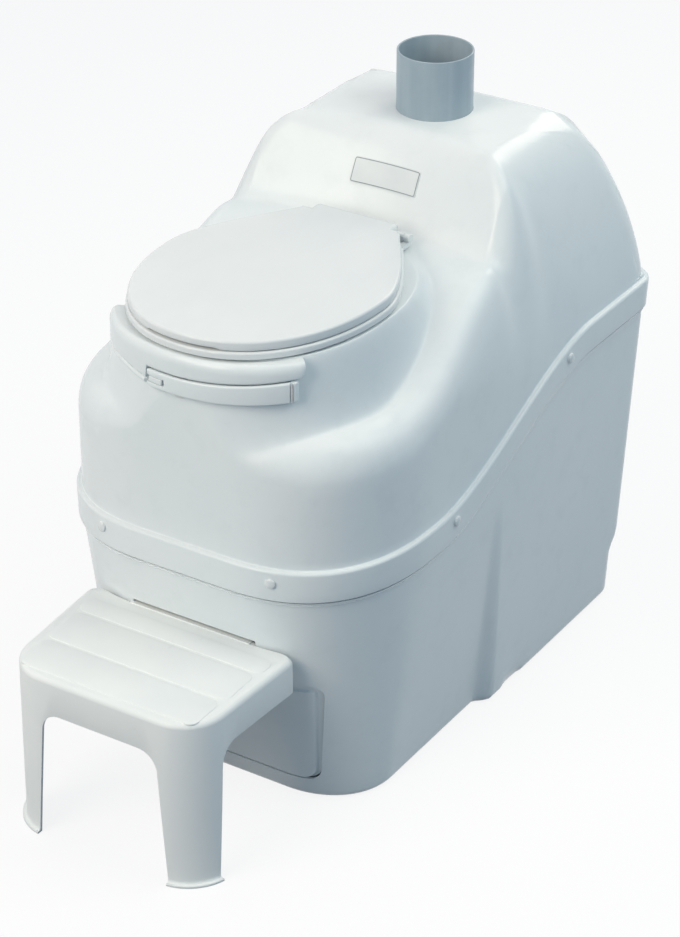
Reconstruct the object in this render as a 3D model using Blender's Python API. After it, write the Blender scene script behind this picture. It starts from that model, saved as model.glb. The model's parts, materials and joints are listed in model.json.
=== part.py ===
"""A composting toilet with a hand-turned drum, a finishing drawer and a step.

Metres, +Z up. The front faces -Y, the floor is z = 0 and x = 0 is the middle plane.
The body is two moulded shells that meet at a flange, which climbs from low at the
front to high at the back. The drum lies along Y inside them, under the bowl liner.
"""
import math

import bmesh
import bpy
from mathutils import Matrix, Vector

# Main heights, from the deck's height above the floor
deck_height = 0.684
front_seam_share = 0.51462
rear_seam_share = 0.70468
drum_height_share = 0.62866
drum_radius_share = 0.25585
drawer_top_share = 0.29752
step_height_share = 0.37719

# Body
front_seam_height = deck_height * front_seam_share
rear_seam_height = deck_height * rear_seam_share
seam_rise_start = -0.160
seam_rise_end = 0.250
seam_half_width = 0.258
base_half_width = 0.247
front_seam_y = -0.3885
front_tuck = 0.0685
side_tuck = 0.019
rear_base_y = 0.417
rear_seam_y = 0.445
rear_ledge = 0.018
ledge_low = 0.072
ledge_high = 0.104
seam_corner_x = 0.196
seam_corner_y = 0.226
seam_squareness = 2.5
base_squareness = 2.1
base_corner_x = 0.112
base_corner_y = 0.096
rear_corner = 0.035
crease_start = 0.000
crease_length = 0.024
base_edge = 0.012
notch_start = 0.056
notch_length = 0.056
notch_lift = 0.020
shell_wall = 0.005
fit_gap = 0.0003

# Flange between the shells
flange_height = 0.046
flange_round = 0.004
lower_shell_tuck = 0.036

# Seat deck, pedestal and hump
pedestal_height = 0.106
shoulder_height = deck_height - pedestal_height
ramp_start = -0.230
ramp_end = 0.060
seat_centre_y = -0.168
pedestal_half_width = 0.184
pedestal_half_length = 0.214
pedestal_squareness = 2.25
rim_round = 0.008
foot_spread = 0.024
foot_power = 1.6
hump_rise = 0.115
hump_height = deck_height + hump_rise
backrest_mid_rise = 0.056
backrest_mid_height = deck_height + backrest_mid_rise
backrest_mid_y = 0.119
backrest_wing_x = 0.165
backrest_wing_reach = 0.021
backrest_lean = 0.50
crease_round = 0.030
crest_round = 0.070
wing_crest_round = 0.030
shoulder_round = 0.050
shoulder_drop = 0.060
shoulder_span = 44.0
front_rim_round = 0.012
hump_round = 0.118
hump_round_power = 0.76
drop_change_start = -0.150
drop_change_end = 0.150
width_change_start = 0.020
width_change_end = 0.170
rear_round = 0.125
row_spacing = 0.110
wall_band = 0.010
opening_half_width = 0.115
opening_half_length = 0.150
opening_lip = 0.012

# Vent
vent_y = 0.250
vent_radius = 0.055
vent_wall = 0.003
vent_rise = 0.088
vent_depth = 0.047
vent_top = hump_height + vent_rise
vent_bottom = hump_height - vent_depth
collar_width = 0.0068
collar_height = 0.014
collar_clearance = 0.0026

# Seat ring and lid
seat_half_width = 0.173
seat_front_length = 0.221
seat_squareness = 2.15
seat_waist_y = -0.165
seat_side_pull = 0.055
seat_rear_x = 0.079
seat_rear_y = 0.0275
seat_rear_pull_x = 0.050
seat_rear_pull_y = 0.075
ring_grow = 0.003
ring_rear_y = 0.012
ring_hole_half_width = 0.108
ring_hole_half_length = 0.142
ring_thickness = 0.010
ring_edge = 0.003
bumper_height = 0.003
bumper_radius = 0.009
lid_skirt = 0.0135
lid_crown = 0.005
lid_wall = 0.003
lid_gap = 0.0015
lid_edge = 0.004
lid_tab_half_width = 0.066
lid_tab_rear_y = 0.047
lid_tab_corner = 0.004
hinge_y = 0.040
hinge_height = 0.0135
hinge_pin_radius = 0.0032
hinge_lug_radius = 0.0062
hinge_lug_width = 0.009
hinge_block_width = 0.013
hinge_block_depth = 0.0170
hinge_side_gap = 0.0006

# Front lip, crank and drum lock
lip_reach = 0.0145
lip_height = 0.0275
lip_bottom = deck_height - lip_height
lip_edge = 0.0040
lip_nose = 0.0140
lip_span = 49.3
crank_drop = 0.0445
crank_height = deck_height - crank_drop
crank_bar_height = 0.027
crank_reach = 0.0160
crank_bar_depth = 0.0065
crank_span_start = -11.5
crank_span_end = 41.0
crank_pivot_span = 43.5
crank_notch_span = 7.4
crank_notch_height = 0.0155
crank_pivot_reach = 0.0160
crank_knuckle_radius = 0.0055
crank_pin_radius = 0.0026
crank_ear = 0.0030
bracket_back = 0.0018
bracket_sink = 0.0005
lock_span = -7.8
lock_knob_width = 0.0220
lock_knob_height = 0.0100
lock_knob_length = 0.0066
lock_knob_start = 0.0095
lock_stem_radius = 0.0035
lock_stem_length = 0.026

# Drum and its drive
drive_drop = 0.050
drive_height = deck_height - drive_drop
drum_height = deck_height * drum_height_share
drum_radius = deck_height * drum_radius_share
drum_wall = 0.003
drum_front_y = -0.321
drum_rear_y = 0.130
end_plate = 0.006
gear_face = 0.010
gear_front_y = -0.337
gear_teeth = 44
pinion_teeth = 10
pinion_face = 0.012
axle_radius = 0.012
hatch_front_y = -0.250
hatch_rear_y = -0.086
drum_segments = 40
hatch_segments = 6
door_overlap = 0.008
door_pin_radius = 0.003
door_barrel_share = 1.2
mixing_bar_radius = 0.006
mixing_bar_inset = 0.055
mixing_bar_circle = drum_radius - mixing_bar_inset
drive_shaft_radius = 0.009
drive_bush_radius = 0.016
drive_bush_length = 0.012
bearing_plate = 0.006
bearing_half_width = 0.034
front_bearing_y = -0.366
front_bearing_foot_share = 0.84091
front_bearing_foot = front_seam_height * front_bearing_foot_share
rear_bearing_y = 0.150

# Finishing drawer
drawer_top_half_width = 0.187
drawer_bottom_half_width = 0.169
drawer_bottom = 0.031
drawer_top = deck_height * drawer_top_share
drawer_corner = 0.020
drawer_inset = 0.0050
drawer_proud = 0.0042
drawer_panel = 0.009
drawer_rim = 0.0115
drawer_side_rim = 0.0100
drawer_low_side_rim = 0.0045
tray_half_width = 0.150
tray_rise = 0.015
tray_drop = 0.0135
tray_bottom = drawer_bottom + tray_rise
tray_top = drawer_top - tray_drop
tray_rear_y = 0.060
tray_wall = 0.003
runner_width = 0.016
runner_thickness = 0.003
runner_front_y = -0.270

# Step
step_height = deck_height * step_height_share
step_half_width = 0.158
step_flare_share = 0.05
step_shift = -0.006
step_front_y = -0.584
step_rear_y = -0.3728
step_wall_gap = 0.0026
step_corner = 0.060
step_rear_corner = 0.012
step_wall = 0.004
step_splay = 0.002
step_edge = 0.008
step_front_apron = 0.054
step_side_apron = 0.050
step_front_arch = step_height - step_front_apron
step_side_arch = step_height - step_side_apron
step_leg_front_top = 0.094
step_leg_front_foot = 0.109
step_leg_side_top = 0.054
step_leg_side_foot = 0.043
step_arch_round = 0.030
foot_lip = 0.004
foot_lip_height = 0.004
slot_half_width = 0.101
slot_rise = 0.0028
slot_tall = 0.0092
slot_bottom = step_height + slot_rise
slot_top = slot_bottom + slot_tall
tongue_thickness = 0.005
tongue_inset = 0.009
tongue_reach = 0.024
tongue_web = 0.005

# Fasteners and drain
screw_head_radius = 0.0075
screw_head_height = 0.0045
screw_stem_radius = 0.003
screw_stem_length = 0.014
front_screw_x = 0.136
side_screw_y = -0.120
rear_side_screw_y = 0.180
back_screw_x = 0.150
screw_rise_share = 0.60
drain_height = 0.036
drain_x = 0.150
drain_radius = 0.009
drain_bore = 0.006
drain_flange_radius = 0.016
drain_flange = 0.003
drain_length = 0.034

cut_overrun = 0.020
round_segments = 24
small_segments = 12


def clear_scene():
    for item in list(bpy.data.objects):
        bpy.data.objects.remove(item, do_unlink=True)


def material(name, colour, roughness, metallic=0.0):
    found = bpy.data.materials.get(name)
    if found:
        return found
    made = bpy.data.materials.new(name)
    made.use_nodes = True
    shader = made.node_tree.nodes["Principled BSDF"]
    shader.inputs["Base Color"].default_value = (*colour, 1.0)
    shader.inputs["Roughness"].default_value = roughness
    shader.inputs["Metallic"].default_value = metallic
    return made


def gelcoat():
    return material("white_gelcoat", (0.80, 0.82, 0.80), 0.22)


def seat_plastic():
    return material("white_seat_plastic", (0.83, 0.84, 0.82), 0.30)


def step_plastic():
    return material("off_white_step_plastic", (0.80, 0.80, 0.78), 0.55)


def pipe_plastic():
    return material("blue_grey_pipe", (0.30, 0.38, 0.44), 0.45)


def drum_plastic():
    return material("grey_drum_plastic", (0.40, 0.42, 0.43), 0.50)


def steel():
    return material("stainless_steel", (0.62, 0.63, 0.64), 0.30, 1.0)


def rubber():
    return material("white_rubber", (0.70, 0.70, 0.68), 0.80)


def new_object(name, mesh, finish):
    item = bpy.data.objects.new(name, mesh)
    bpy.context.scene.collection.objects.link(item)
    mesh.materials.clear()
    mesh.materials.append(finish)
    return item


def object_from_faces(name, points, faces, finish, sharp_angle=35.0):
    """A closed mesh from points and faces, with its faces turned outward."""
    mesh = bpy.data.meshes.new(name)
    mesh.from_pydata([tuple(point) for point in points], [], faces)
    work = bmesh.new()
    work.from_mesh(mesh)
    bmesh.ops.recalc_face_normals(work, faces=work.faces)
    work.to_mesh(mesh)
    work.free()
    mesh.shade_smooth()
    mesh.set_sharp_from_angle(angle=math.radians(sharp_angle))
    return new_object(name, mesh, finish)


def ring_faces(rings, count, closed=True):
    """Quads between successive rings of points, each of count points."""
    faces = []
    steps = count if closed else count - 1
    for ring in range(rings - 1):
        low = ring * count
        for step in range(steps):
            after = (step + 1) % count
            faces.append((low + step, low + after, low + count + after, low + count + step))
    return faces


def loft(name, rings, finish, caps=True, sharp_angle=35.0):
    """A skin through rings of points, closed at both ends where caps is true."""
    count = len(rings[0])
    points = [point for ring in rings for point in ring]
    faces = ring_faces(len(rings), count)
    if caps:
        faces.append(tuple(range(count)))
        last = (len(rings) - 1) * count
        faces.append(tuple(last + step for step in range(count)))
    return object_from_faces(name, points, faces, finish, sharp_angle)


def circle(radius, segments, turn=0.0):
    spokes = [turn + 2.0 * math.pi * step / segments for step in range(segments)]
    return [(radius * math.cos(spoke), radius * math.sin(spoke)) for spoke in spokes]


def placed(outline, along, axis, origin=(0.0, 0.0, 0.0)):
    """Points of a plane outline, set at the distance along the axis from the origin."""
    east, north, lift = {"X": ((0, 1, 0), (0, 0, 1), (1, 0, 0)),
                         "Y": ((1, 0, 0), (0, 0, 1), (0, 1, 0)),
                         "Z": ((1, 0, 0), (0, 1, 0), (0, 0, 1))}[axis]
    start = Vector(origin) + Vector(lift) * along
    return [start + Vector(east) * u + Vector(north) * v for u, v in outline]


def prism(name, outline, start, end, axis, finish, origin=(0.0, 0.0, 0.0), sharp_angle=35.0):
    rings = [placed(outline, start, axis, origin), placed(outline, end, axis, origin)]
    return loft(name, rings, finish, True, sharp_angle)


def turned(name, profile, axis, finish, origin=(0.0, 0.0, 0.0), segments=round_segments):
    """A solid of revolution; the profile lists radius and distance, solid to the axis."""
    turn = math.pi / segments
    rings = [placed(circle(radius, segments, turn), along, axis, origin) for radius, along in profile]
    return loft(name, rings, finish)


def turned_ring(name, profile, axis, finish, origin=(0.0, 0.0, 0.0), segments=round_segments):
    """A ring of revolution; the profile is a closed outline of radius and distance."""
    turn = math.pi / segments
    rings = [placed(circle(radius, segments, turn), along, axis, origin) for radius, along in profile]
    count = segments
    points = [point for ring in rings for point in ring]
    faces = ring_faces(len(rings), count)
    last = (len(rings) - 1) * count
    for step in range(count):
        after = (step + 1) % count
        faces.append((last + step, last + after, after, step))
    return object_from_faces(name, points, faces, finish)


def box(name, low, high, finish):
    outline = [(low[0], low[1]), (high[0], low[1]), (high[0], high[1]), (low[0], high[1])]
    return prism(name, outline, low[2], high[2], "Z", finish)


def rounded_rectangle(low, high, radius, steps=4):
    centres = [(high[0] - radius, low[1] + radius, -90.0), (high[0] - radius, high[1] - radius, 0.0),
               (low[0] + radius, high[1] - radius, 90.0), (low[0] + radius, low[1] + radius, 180.0)]
    outline = []
    for centre_u, centre_v, first in centres:
        for step in range(steps + 1):
            spoke = math.radians(first + 90.0 * step / steps)
            outline.append((centre_u + radius * math.cos(spoke), centre_v + radius * math.sin(spoke)))
    return outline


def solidified(item, thickness):
    """The skin thickened inward, with its modifier made permanent."""
    modifier = item.modifiers.new("wall", "SOLIDIFY")
    modifier.thickness = thickness
    modifier.offset = -1.0
    modifier.use_even_offset = True
    modifier.use_quality_normals = True
    made_permanent(item)
    work = bmesh.new()
    work.from_mesh(item.data)
    bmesh.ops.triangulate(work, faces=work.faces)
    work.to_mesh(item.data)
    work.free()
    return item


def made_permanent(item):
    graph = bpy.context.evaluated_depsgraph_get()
    graph.update()
    mesh = bpy.data.meshes.new_from_object(item.evaluated_get(graph))
    item.modifiers.clear()
    item.data = mesh
    return item


def combined(item, tool, operation):
    """The item with the tool cut away or joined on; the tool is used up."""
    modifier = item.modifiers.new(operation.lower(), "BOOLEAN")
    modifier.operation = operation
    modifier.solver = "EXACT"
    modifier.object = tool
    made_permanent(item)
    bpy.data.objects.remove(tool, do_unlink=True)
    return item


def cut(item, tool):
    return combined(item, tool, "DIFFERENCE")


def joined(item, tool):
    return combined(item, tool, "UNION")


def turn_about(item, pivot, angle, axis):
    """The mesh turned in place about a line through the pivot."""
    shift = Matrix.Translation(pivot)
    item.data.transform(shift @ Matrix.Rotation(angle, 4, axis) @ shift.inverted())
    return item


def with_origin(item, origin):
    """The same solid with its object origin on its joint's axis."""
    item.data.transform(Matrix.Translation(-Vector(origin)))
    item.location = origin
    return item


def mixed(first, second, share):
    return first + (second - first) * share


def eased(share):
    share = min(max(share, 0.0), 1.0)
    return share * share * (3.0 - 2.0 * share)


def smooth_max(first, second, blend):
    share = min(max(0.5 + 0.5 * (first - second) / blend, 0.0), 1.0)
    return mixed(second, first, share) + blend * share * (1.0 - share)


def smooth_min(first, second, blend):
    return -smooth_max(-first, -second, blend)


# Plan outline of the body, from one list of stations
front_shares = (0.0, 0.5)
corner_steps = 9
side_shares = (0.10, 0.20, 0.30, 0.355, 0.378, 0.405, 0.435, 0.465, 0.56, 0.67, 0.78, 0.89)
rear_corner_steps = 4


def body_stations():
    """Half of the outline from the front middle to the rear middle, then its mirror."""
    half = [("front", share) for share in front_shares]
    half += [("corner", share) for share in (0.0, 0.5 / corner_steps)]
    half += [("corner", step / corner_steps) for step in range(1, corner_steps + 1)]
    half += [("side", share) for share in side_shares]
    half += [("rear_corner", step / rear_corner_steps) for step in range(rear_corner_steps + 1)]
    half += [("rear", 0.5), ("rear", 1.0)]
    right = [(kind, share, 1.0) for kind, share in half]
    left = [(kind, share, -1.0) for kind, share in reversed(half[1:-1])]
    return right + left


def taper(z):
    """Share of the inward taper of the front, from the seam down to the floor."""
    return max(1.0 - z / front_seam_height, 0.0)


def rear_half_width(z):
    return base_half_width + (seam_half_width - base_half_width) * z / front_seam_height


def front_wall_y(z):
    return front_seam_y + front_tuck * taper(z)


def rear_wall_y(z):
    slope = (rear_seam_y - rear_base_y) / rear_seam_height
    ledge = rear_ledge * (1.0 - eased((z - ledge_low) / (ledge_high - ledge_low)))
    return rear_base_y + slope * z - ledge


def plan_point(station, z, offset=0.0):
    """Plan point, and outward normal, of a station of the body at height z."""
    kind, share, side = station
    rise = min(z / front_seam_height, 1.0)
    corner_x = mixed(base_corner_x, seam_corner_x, rise)
    corner_y = mixed(base_corner_y, seam_corner_y, rise)
    wide = rear_half_width(z)
    narrow = wide - side_tuck * taper(z)
    front_y = front_wall_y(z)
    rear_y = rear_wall_y(z)
    if kind == "front":
        x, y, normal = (narrow - corner_x) * share, front_y, (0.0, -1.0)
    elif kind == "corner":
        squareness = mixed(base_squareness, seam_squareness, rise)
        spoke = math.radians(90.0 * share)
        across = max(math.sin(spoke), 0.0) ** (2.0 / squareness)
        along = max(math.cos(spoke), 0.0) ** (2.0 / squareness)
        x = narrow - corner_x + corner_x * across
        y = front_y + corner_y - corner_y * along
        normal = (across ** (squareness - 1.0) / corner_x, -along ** (squareness - 1.0) / corner_y)
    elif kind == "side":
        y = mixed(front_y + corner_y, rear_y - rear_corner, share)
        x, normal = mixed(narrow, wide, eased((y - crease_start) / crease_length)), (1.0, 0.0)
    elif kind == "rear_corner":
        spoke = math.radians(90.0 * share)
        x = wide - rear_corner + rear_corner * math.cos(spoke)
        y = rear_y - rear_corner + rear_corner * math.sin(spoke)
        normal = (math.cos(spoke), math.sin(spoke))
    else:
        x, y, normal = (wide - rear_corner) * (1.0 - share), rear_y, (0.0, 1.0)
    length = math.hypot(*normal)
    normal_x, normal_y = side * normal[0] / length, normal[1] / length
    return side * x + normal_x * offset, y + normal_y * offset, normal_x, normal_y


def seam_at(y):
    """Height of the flange's lower edge, level at the front and high at the back."""
    climb = eased((y - seam_rise_start) / (seam_rise_end - seam_rise_start))
    return mixed(front_seam_height, rear_seam_height, climb)


def seam_height(station):
    return seam_at(plan_point(station, front_seam_height)[1])


def notch(station):
    """How far the bottom edge is lifted at the notch behind the middle foot."""
    kind, y = station[0], plan_point(station, base_edge)[1]
    if kind != "side" or not notch_start < y < notch_start + notch_length:
        return 0.0
    return notch_lift * math.sin(math.pi * (y - notch_start) / notch_length) ** 0.5


lower_height_shares = (0.10, 0.186, 0.268, 0.40, 0.56, 0.74)


def make_lower_shell():
    """The tub: a floor, walls that taper in at the front, and a ledge at the back."""
    stations = body_stations()
    rows = []
    for share in (1.0, 0.3, 0.0):
        rows.append([(plan_point(s, base_edge, -base_edge * share)[:2], base_edge * (1.0 - share) + notch(s)
                      * (1.0 - share)) for s in stations])
    for share in lower_height_shares:
        height = share * (front_seam_height + lower_shell_tuck)
        rows.append([(plan_point(s, max(height, base_edge + notch(s)))[:2], height + notch(s)
                      * (1.0 - share) * (1.0 if share < 0.2 else 0.0)) for s in stations])
    start = lower_height_shares[-1] * (front_seam_height + lower_shell_tuck)
    for share, rise in ((0.55, 0.0), (1.0, 0.0), (1.0, lower_shell_tuck)):
        rows.append([(plan_point(s, mixed(start, seam_height(s), share) + rise)[:2],
                      mixed(start, seam_height(s), share) + rise) for s in stations])
    rings = [[(x, y, z) for (x, y), z in row] for row in rows]
    count = len(stations)
    points = [point for ring in rings for point in ring]
    faces = ring_faces(len(rings), count)
    faces.append(tuple(reversed(range(count))))
    shell = object_from_faces("lower_shell", points, faces, gelcoat())
    solidified(shell, shell_wall)
    cut(shell, drawer_opening())
    cut(shell, slot_cutter())
    cut(shell, drain_cutter())
    for place, normal in screw_places():
        cut(shell, screw_hole(place, normal))
    return shell


def ellipse_reach(half_width, half_length, x, y, squareness=2.0):
    """Distance from the seat's centre to an oval, in the direction of the point."""
    across, along = abs(x), abs(y - seat_centre_y)
    share = (across / half_width) ** squareness + (along / half_length) ** squareness
    return math.hypot(across, along) / share ** (1.0 / squareness)


def rim_reach(x, y):
    return ellipse_reach(pedestal_half_width, pedestal_half_length, x, y, pedestal_squareness)


def pedestal_excess(x, y):
    """How far outside the pedestal's rim the point lies, on a line from its centre."""
    reach = math.hypot(x, y - seat_centre_y)
    if reach < rim_round:
        return -pedestal_half_width
    return reach - rim_reach(x, y)


def pedestal_rise(excess):
    """Share of the pedestal's height, full on top and easing out round its foot."""
    return (1.0 - eased((excess + rim_round) / (rim_round + foot_spread))) ** foot_power


def pedestal_reach(height):
    """How far outside the rim the pedestal's side lies at the given height."""
    wanted = (height - shoulder_height) / (deck_height - shoulder_height)
    low, high = -rim_round, foot_spread
    for _ in range(30):
        middle = (low + high) / 2.0
        if pedestal_rise(middle) > wanted:
            low = middle
        else:
            high = middle
    return high


def top_surface(x, y):
    """Height of the upper shell, without the roll-off along its outline."""
    climb = eased((y - ramp_start) / (ramp_end - ramp_start))
    ground = mixed(shoulder_height, deck_height, climb)
    base = mixed(ground, deck_height, pedestal_rise(pedestal_excess(x, y)))
    winged = min((x / backrest_wing_x) ** 2, 1.4)
    backrest_y = backrest_mid_y - backrest_wing_reach * winged
    backrest = backrest_mid_height + (y - backrest_y) / backrest_lean
    crest = mixed(crest_round, wing_crest_round, min(winged, 1.0))
    return smooth_min(smooth_max(base, backrest, crease_round), hump_height, crest)


def flange_offsets():
    """Offsets from the lower shell's face: flange face, and upper wall face."""
    return fit_gap + shell_wall, -(shell_wall / 2.0)


roll_rows = 12
profile_samples = 160
pedestal_rows_share = (0.80, 0.60, 0.40, 0.20, 0.0)


def edge_shares(x, y):
    """How near a point is to the front and side edge, and to the rear edge; 1 is on it."""
    wall = flange_offsets()[1]
    height = seam_at(y) + flange_height
    half = rear_half_width(height) + wall
    rear = rear_wall_y(height) + wall
    front = front_seam_y - wall
    corner_x, corner_y = seam_corner_x + wall, seam_corner_y + wall
    across, along = abs(x) - (half - corner_x), (front + corner_y) - y
    if across > 0.0 and along > 0.0:
        share = ((across / corner_x) ** seam_squareness
                 + (along / corner_y) ** seam_squareness) ** (1.0 / seam_squareness)
        depth = math.hypot(across, along) * (1.0 / max(share, 0.01) - 1.0)
    elif along > 0.0:
        depth = corner_y - along
    else:
        depth = half - abs(x)
    humpward = eased((y - width_change_start) / (width_change_end - width_change_start))
    apart = shoulder_share(x, y)
    roll_width = mixed(mixed(front_rim_round, shoulder_round, apart), hump_round, humpward)
    return max(1.0 - depth / roll_width, 0.0), max(1.0 - (rear - y) / rear_round, 0.0)


def shoulder_share(x, y):
    """0 straight ahead, where the pedestal runs down the front wall; 1 where a shoulder lies between."""
    across, along = abs(x), seat_centre_y - y
    if along <= 0.0:
        return 1.0
    return eased(math.degrees(math.atan2(across, along)) / shoulder_span)


def upper_surface(x, y, flange_top):
    """Height of the upper shell, with its edges rolled down towards the flange."""
    near_side, near_rear = edge_shares(x, y)
    nearest = max(near_side, near_rear)
    blend = 2.0 + 5.0 * nearest * nearest
    inward = min((near_side ** blend + near_rear ** blend) ** (1.0 / blend), 1.0)
    top = top_surface(x, y)
    rearward = eased((y - drop_change_start) / (drop_change_end - drop_change_start))
    humpward = eased((y - width_change_start) / (width_change_end - width_change_start))
    apart = shoulder_share(x, y)
    full_drop = top - flange_top - flange_round
    drop = min(mixed(mixed(front_rim_round, shoulder_drop, apart), full_drop, rearward), full_drop)
    power = mixed(0.5, hump_round_power, humpward)
    return top - drop * (1.0 - max(1.0 - inward * inward, 0.0) ** power)


def profile_rows(reach, foot, ray, flange_top):
    """Distances along a ray, closer together where the surface bends."""
    samples = []
    for step in range(profile_samples + 1):
        distance = reach - (reach - foot) * (step / profile_samples) ** 1.5
        x, y = ray[0] * distance, seat_centre_y + ray[1] * distance
        samples.append((distance, upper_surface(x, y, flange_top)))
    while len(samples) > 2 and samples[1][1] - samples[0][1] < fit_gap:
        samples.pop(1)
    measure = [0.0]
    heading = math.pi / 2.0
    for (near, low), (far, high) in zip(samples, samples[1:]):
        turned_to = math.atan2(high - low, near - far)
        measure.append(measure[-1] + abs(turned_to - heading) + math.hypot(near - far, high - low) / row_spacing)
        heading = turned_to
    rows, index = [], 0
    for row in range(1, roll_rows):
        wanted = measure[-1] * row / roll_rows
        while measure[index + 1] < wanted:
            index += 1
        share = (wanted - measure[index]) / (measure[index + 1] - measure[index])
        rows.append(mixed(samples[index][0], samples[index + 1][0], share))
    return rows + [foot]


def upper_rows(station):
    """Points of one station, from the flange's lower edge in to the opening's lip."""
    seam = seam_height(station)
    flange_top = seam + flange_height
    out, wall = flange_offsets()
    x, y, normal_x, normal_y = plan_point(station, flange_top, wall)
    points = [(*plan_point(station, seam, out)[:2], seam),
              (*plan_point(station, flange_top, out)[:2], flange_top - flange_round),
              (*plan_point(station, flange_top, out - flange_round * 0.4)[:2], flange_top - flange_round * 0.3),
              (*plan_point(station, flange_top, wall + flange_round * 0.3)[:2], flange_top)]
    reach = math.hypot(x, y - seat_centre_y)
    ray = (x / reach, (y - seat_centre_y) / reach)
    rim = rim_reach(x, y)
    hole = ellipse_reach(opening_half_width, opening_half_length, x, y)
    foot = min(rim + foot_spread, reach - front_rim_round)
    start_height = max(upper_surface(x, y, flange_top), flange_top + flange_round)
    points.append((x, y, start_height - min(wall_band, (start_height - flange_top) / 2.0)))
    points.append((x, y, start_height))
    for distance in profile_rows(reach, foot, ray, flange_top):
        px, py = ray[0] * distance, seat_centre_y + ray[1] * distance
        points.append((px, py, upper_surface(px, py, flange_top)))
    rim_start = min(rim - rim_round, foot - rim_round)
    for share in pedestal_rows_share:
        distance = mixed(rim_start, foot, share)
        px, py = ray[0] * distance, seat_centre_y + ray[1] * distance
        points.append((px, py, upper_surface(px, py, flange_top)))
    points.append((ray[0] * hole, seat_centre_y + ray[1] * hole, deck_height))
    points.append((ray[0] * hole, seat_centre_y + ray[1] * hole, deck_height - opening_lip))
    return points


def make_upper_shell():
    """Seat pedestal, deck, backrest hump and flange, moulded as one skin."""
    columns = [upper_rows(station) for station in body_stations()]
    rings = [[column[row] for column in columns] for row in range(len(columns[0]))]
    shell = loft("upper_shell", rings, gelcoat(), caps=False)
    solidified(shell, shell_wall)
    vent_hole = turned("vent_hole", [(vent_radius + fit_gap, vent_bottom),
                                     (vent_radius + fit_gap, vent_top)],
                       "Z", gelcoat(), (0.0, vent_y, 0.0), round_segments * 2)
    cut(shell, vent_hole)
    bush_hole = turned("bush_hole", [(drive_bush_radius + fit_gap, front_seam_y - cut_overrun),
                                     (drive_bush_radius + fit_gap, front_seam_y + cut_overrun)],
                       "Y", gelcoat(), (0.0, 0.0, drive_height), small_segments)
    cut(shell, bush_hole)
    cut(shell, lock_hole())
    for place, normal in screw_places():
        cut(shell, screw_hole(place, normal))
    return shell


def flange_spot(value, axis, kinds):
    """A point on the flat between two stations of the flange, and its outward normal."""
    out = flange_offsets()[0]
    stations = [s for s in body_stations() if s[2] > 0.0 and s[0] in kinds]
    for here, after in zip(stations, stations[1:]):
        start = plan_point(here, front_seam_height, out)[axis]
        end = plan_point(after, front_seam_height, out)[axis]
        if min(start, end) <= value <= max(start, end):
            break
    share = (value - start) / (end - start)
    height = mixed(seam_height(here), seam_height(after), share) + flange_height * screw_rise_share

    def face_point(station, z):
        x, y = plan_point(station, z, out)[:2]
        return Vector((x, y, z))

    first, second = face_point(here, height), face_point(after, height)
    upward = face_point(here, height + flange_height) - first
    return first.lerp(second, share), (second - first).cross(upward).normalized()


def screw_places():
    """Points on the flange face, with their outward normals, where screws go through."""
    places = []
    for place, normal in (flange_spot(front_screw_x, 0, ("corner",)),
                          flange_spot(side_screw_y, 1, ("corner", "side")),
                          flange_spot(rear_side_screw_y, 1, ("side",)),
                          flange_spot(back_screw_x, 0, ("rear_corner", "rear"))):
        for side in (1.0, -1.0):
            places.append((Vector((side * place.x, place.y, place.z)),
                           Vector((side * normal.x, normal.y, normal.z))))
    return places


def aligned(item, place, direction):
    """The item, made along +X at the origin, turned to the direction and moved."""
    turn = Vector((1.0, 0.0, 0.0)).rotation_difference(direction).to_matrix().to_4x4()
    item.data.transform(Matrix.Translation(place) @ turn)
    return item


def screw_hole(place, normal):
    radius = screw_stem_radius + fit_gap
    hole = turned("screw_hole", [(radius, -cut_overrun), (radius, cut_overrun)], "X", steel(),
                  segments=small_segments)
    return aligned(hole, place, normal)


def make_flange_screws():
    """Domed cap screws that hold the two shells together."""
    for number, (place, normal) in enumerate(screw_places(), start=1):
        profile = [(screw_stem_radius, -screw_stem_length), (screw_stem_radius, fit_gap),
                   (screw_head_radius, fit_gap), (screw_head_radius * 0.95, screw_head_height * 0.4),
                   (screw_head_radius * 0.6, screw_head_height * 0.85),
                   (screw_head_radius * 0.2, screw_head_height)]
        screw = turned(f"flange_screw_{number}", profile, "X", seat_plastic(), segments=small_segments)
        aligned(screw, place, normal)


def make_vent():
    inner = vent_radius - vent_wall
    lip = vent_wall * 0.3
    turned_ring("vent_pipe", [(inner, vent_bottom), (vent_radius, vent_bottom),
                              (vent_radius, vent_top - lip), (vent_radius - lip, vent_top),
                              (inner + lip, vent_top), (inner, vent_top - lip)],
                "Z", pipe_plastic(), (0.0, vent_y, 0.0), round_segments * 2)
    top = hump_height - shell_wall - collar_clearance
    bore = vent_radius + fit_gap
    turned_ring("vent_collar", [(bore, top - collar_height), (bore + collar_width * 0.6, top - collar_height),
                                (bore + collar_width, top - collar_height * 0.4), (bore + collar_width, top),
                                (bore, top)], "Z", rubber(), (0.0, vent_y, 0.0), round_segments * 2)


def ellipse(half_width, half_length, segments, centre_y=seat_centre_y):
    spokes = [2.0 * math.pi * step / segments for step in range(segments)]
    return [(half_width * math.sin(spoke), centre_y - half_length * math.cos(spoke)) for spoke in spokes]


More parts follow.
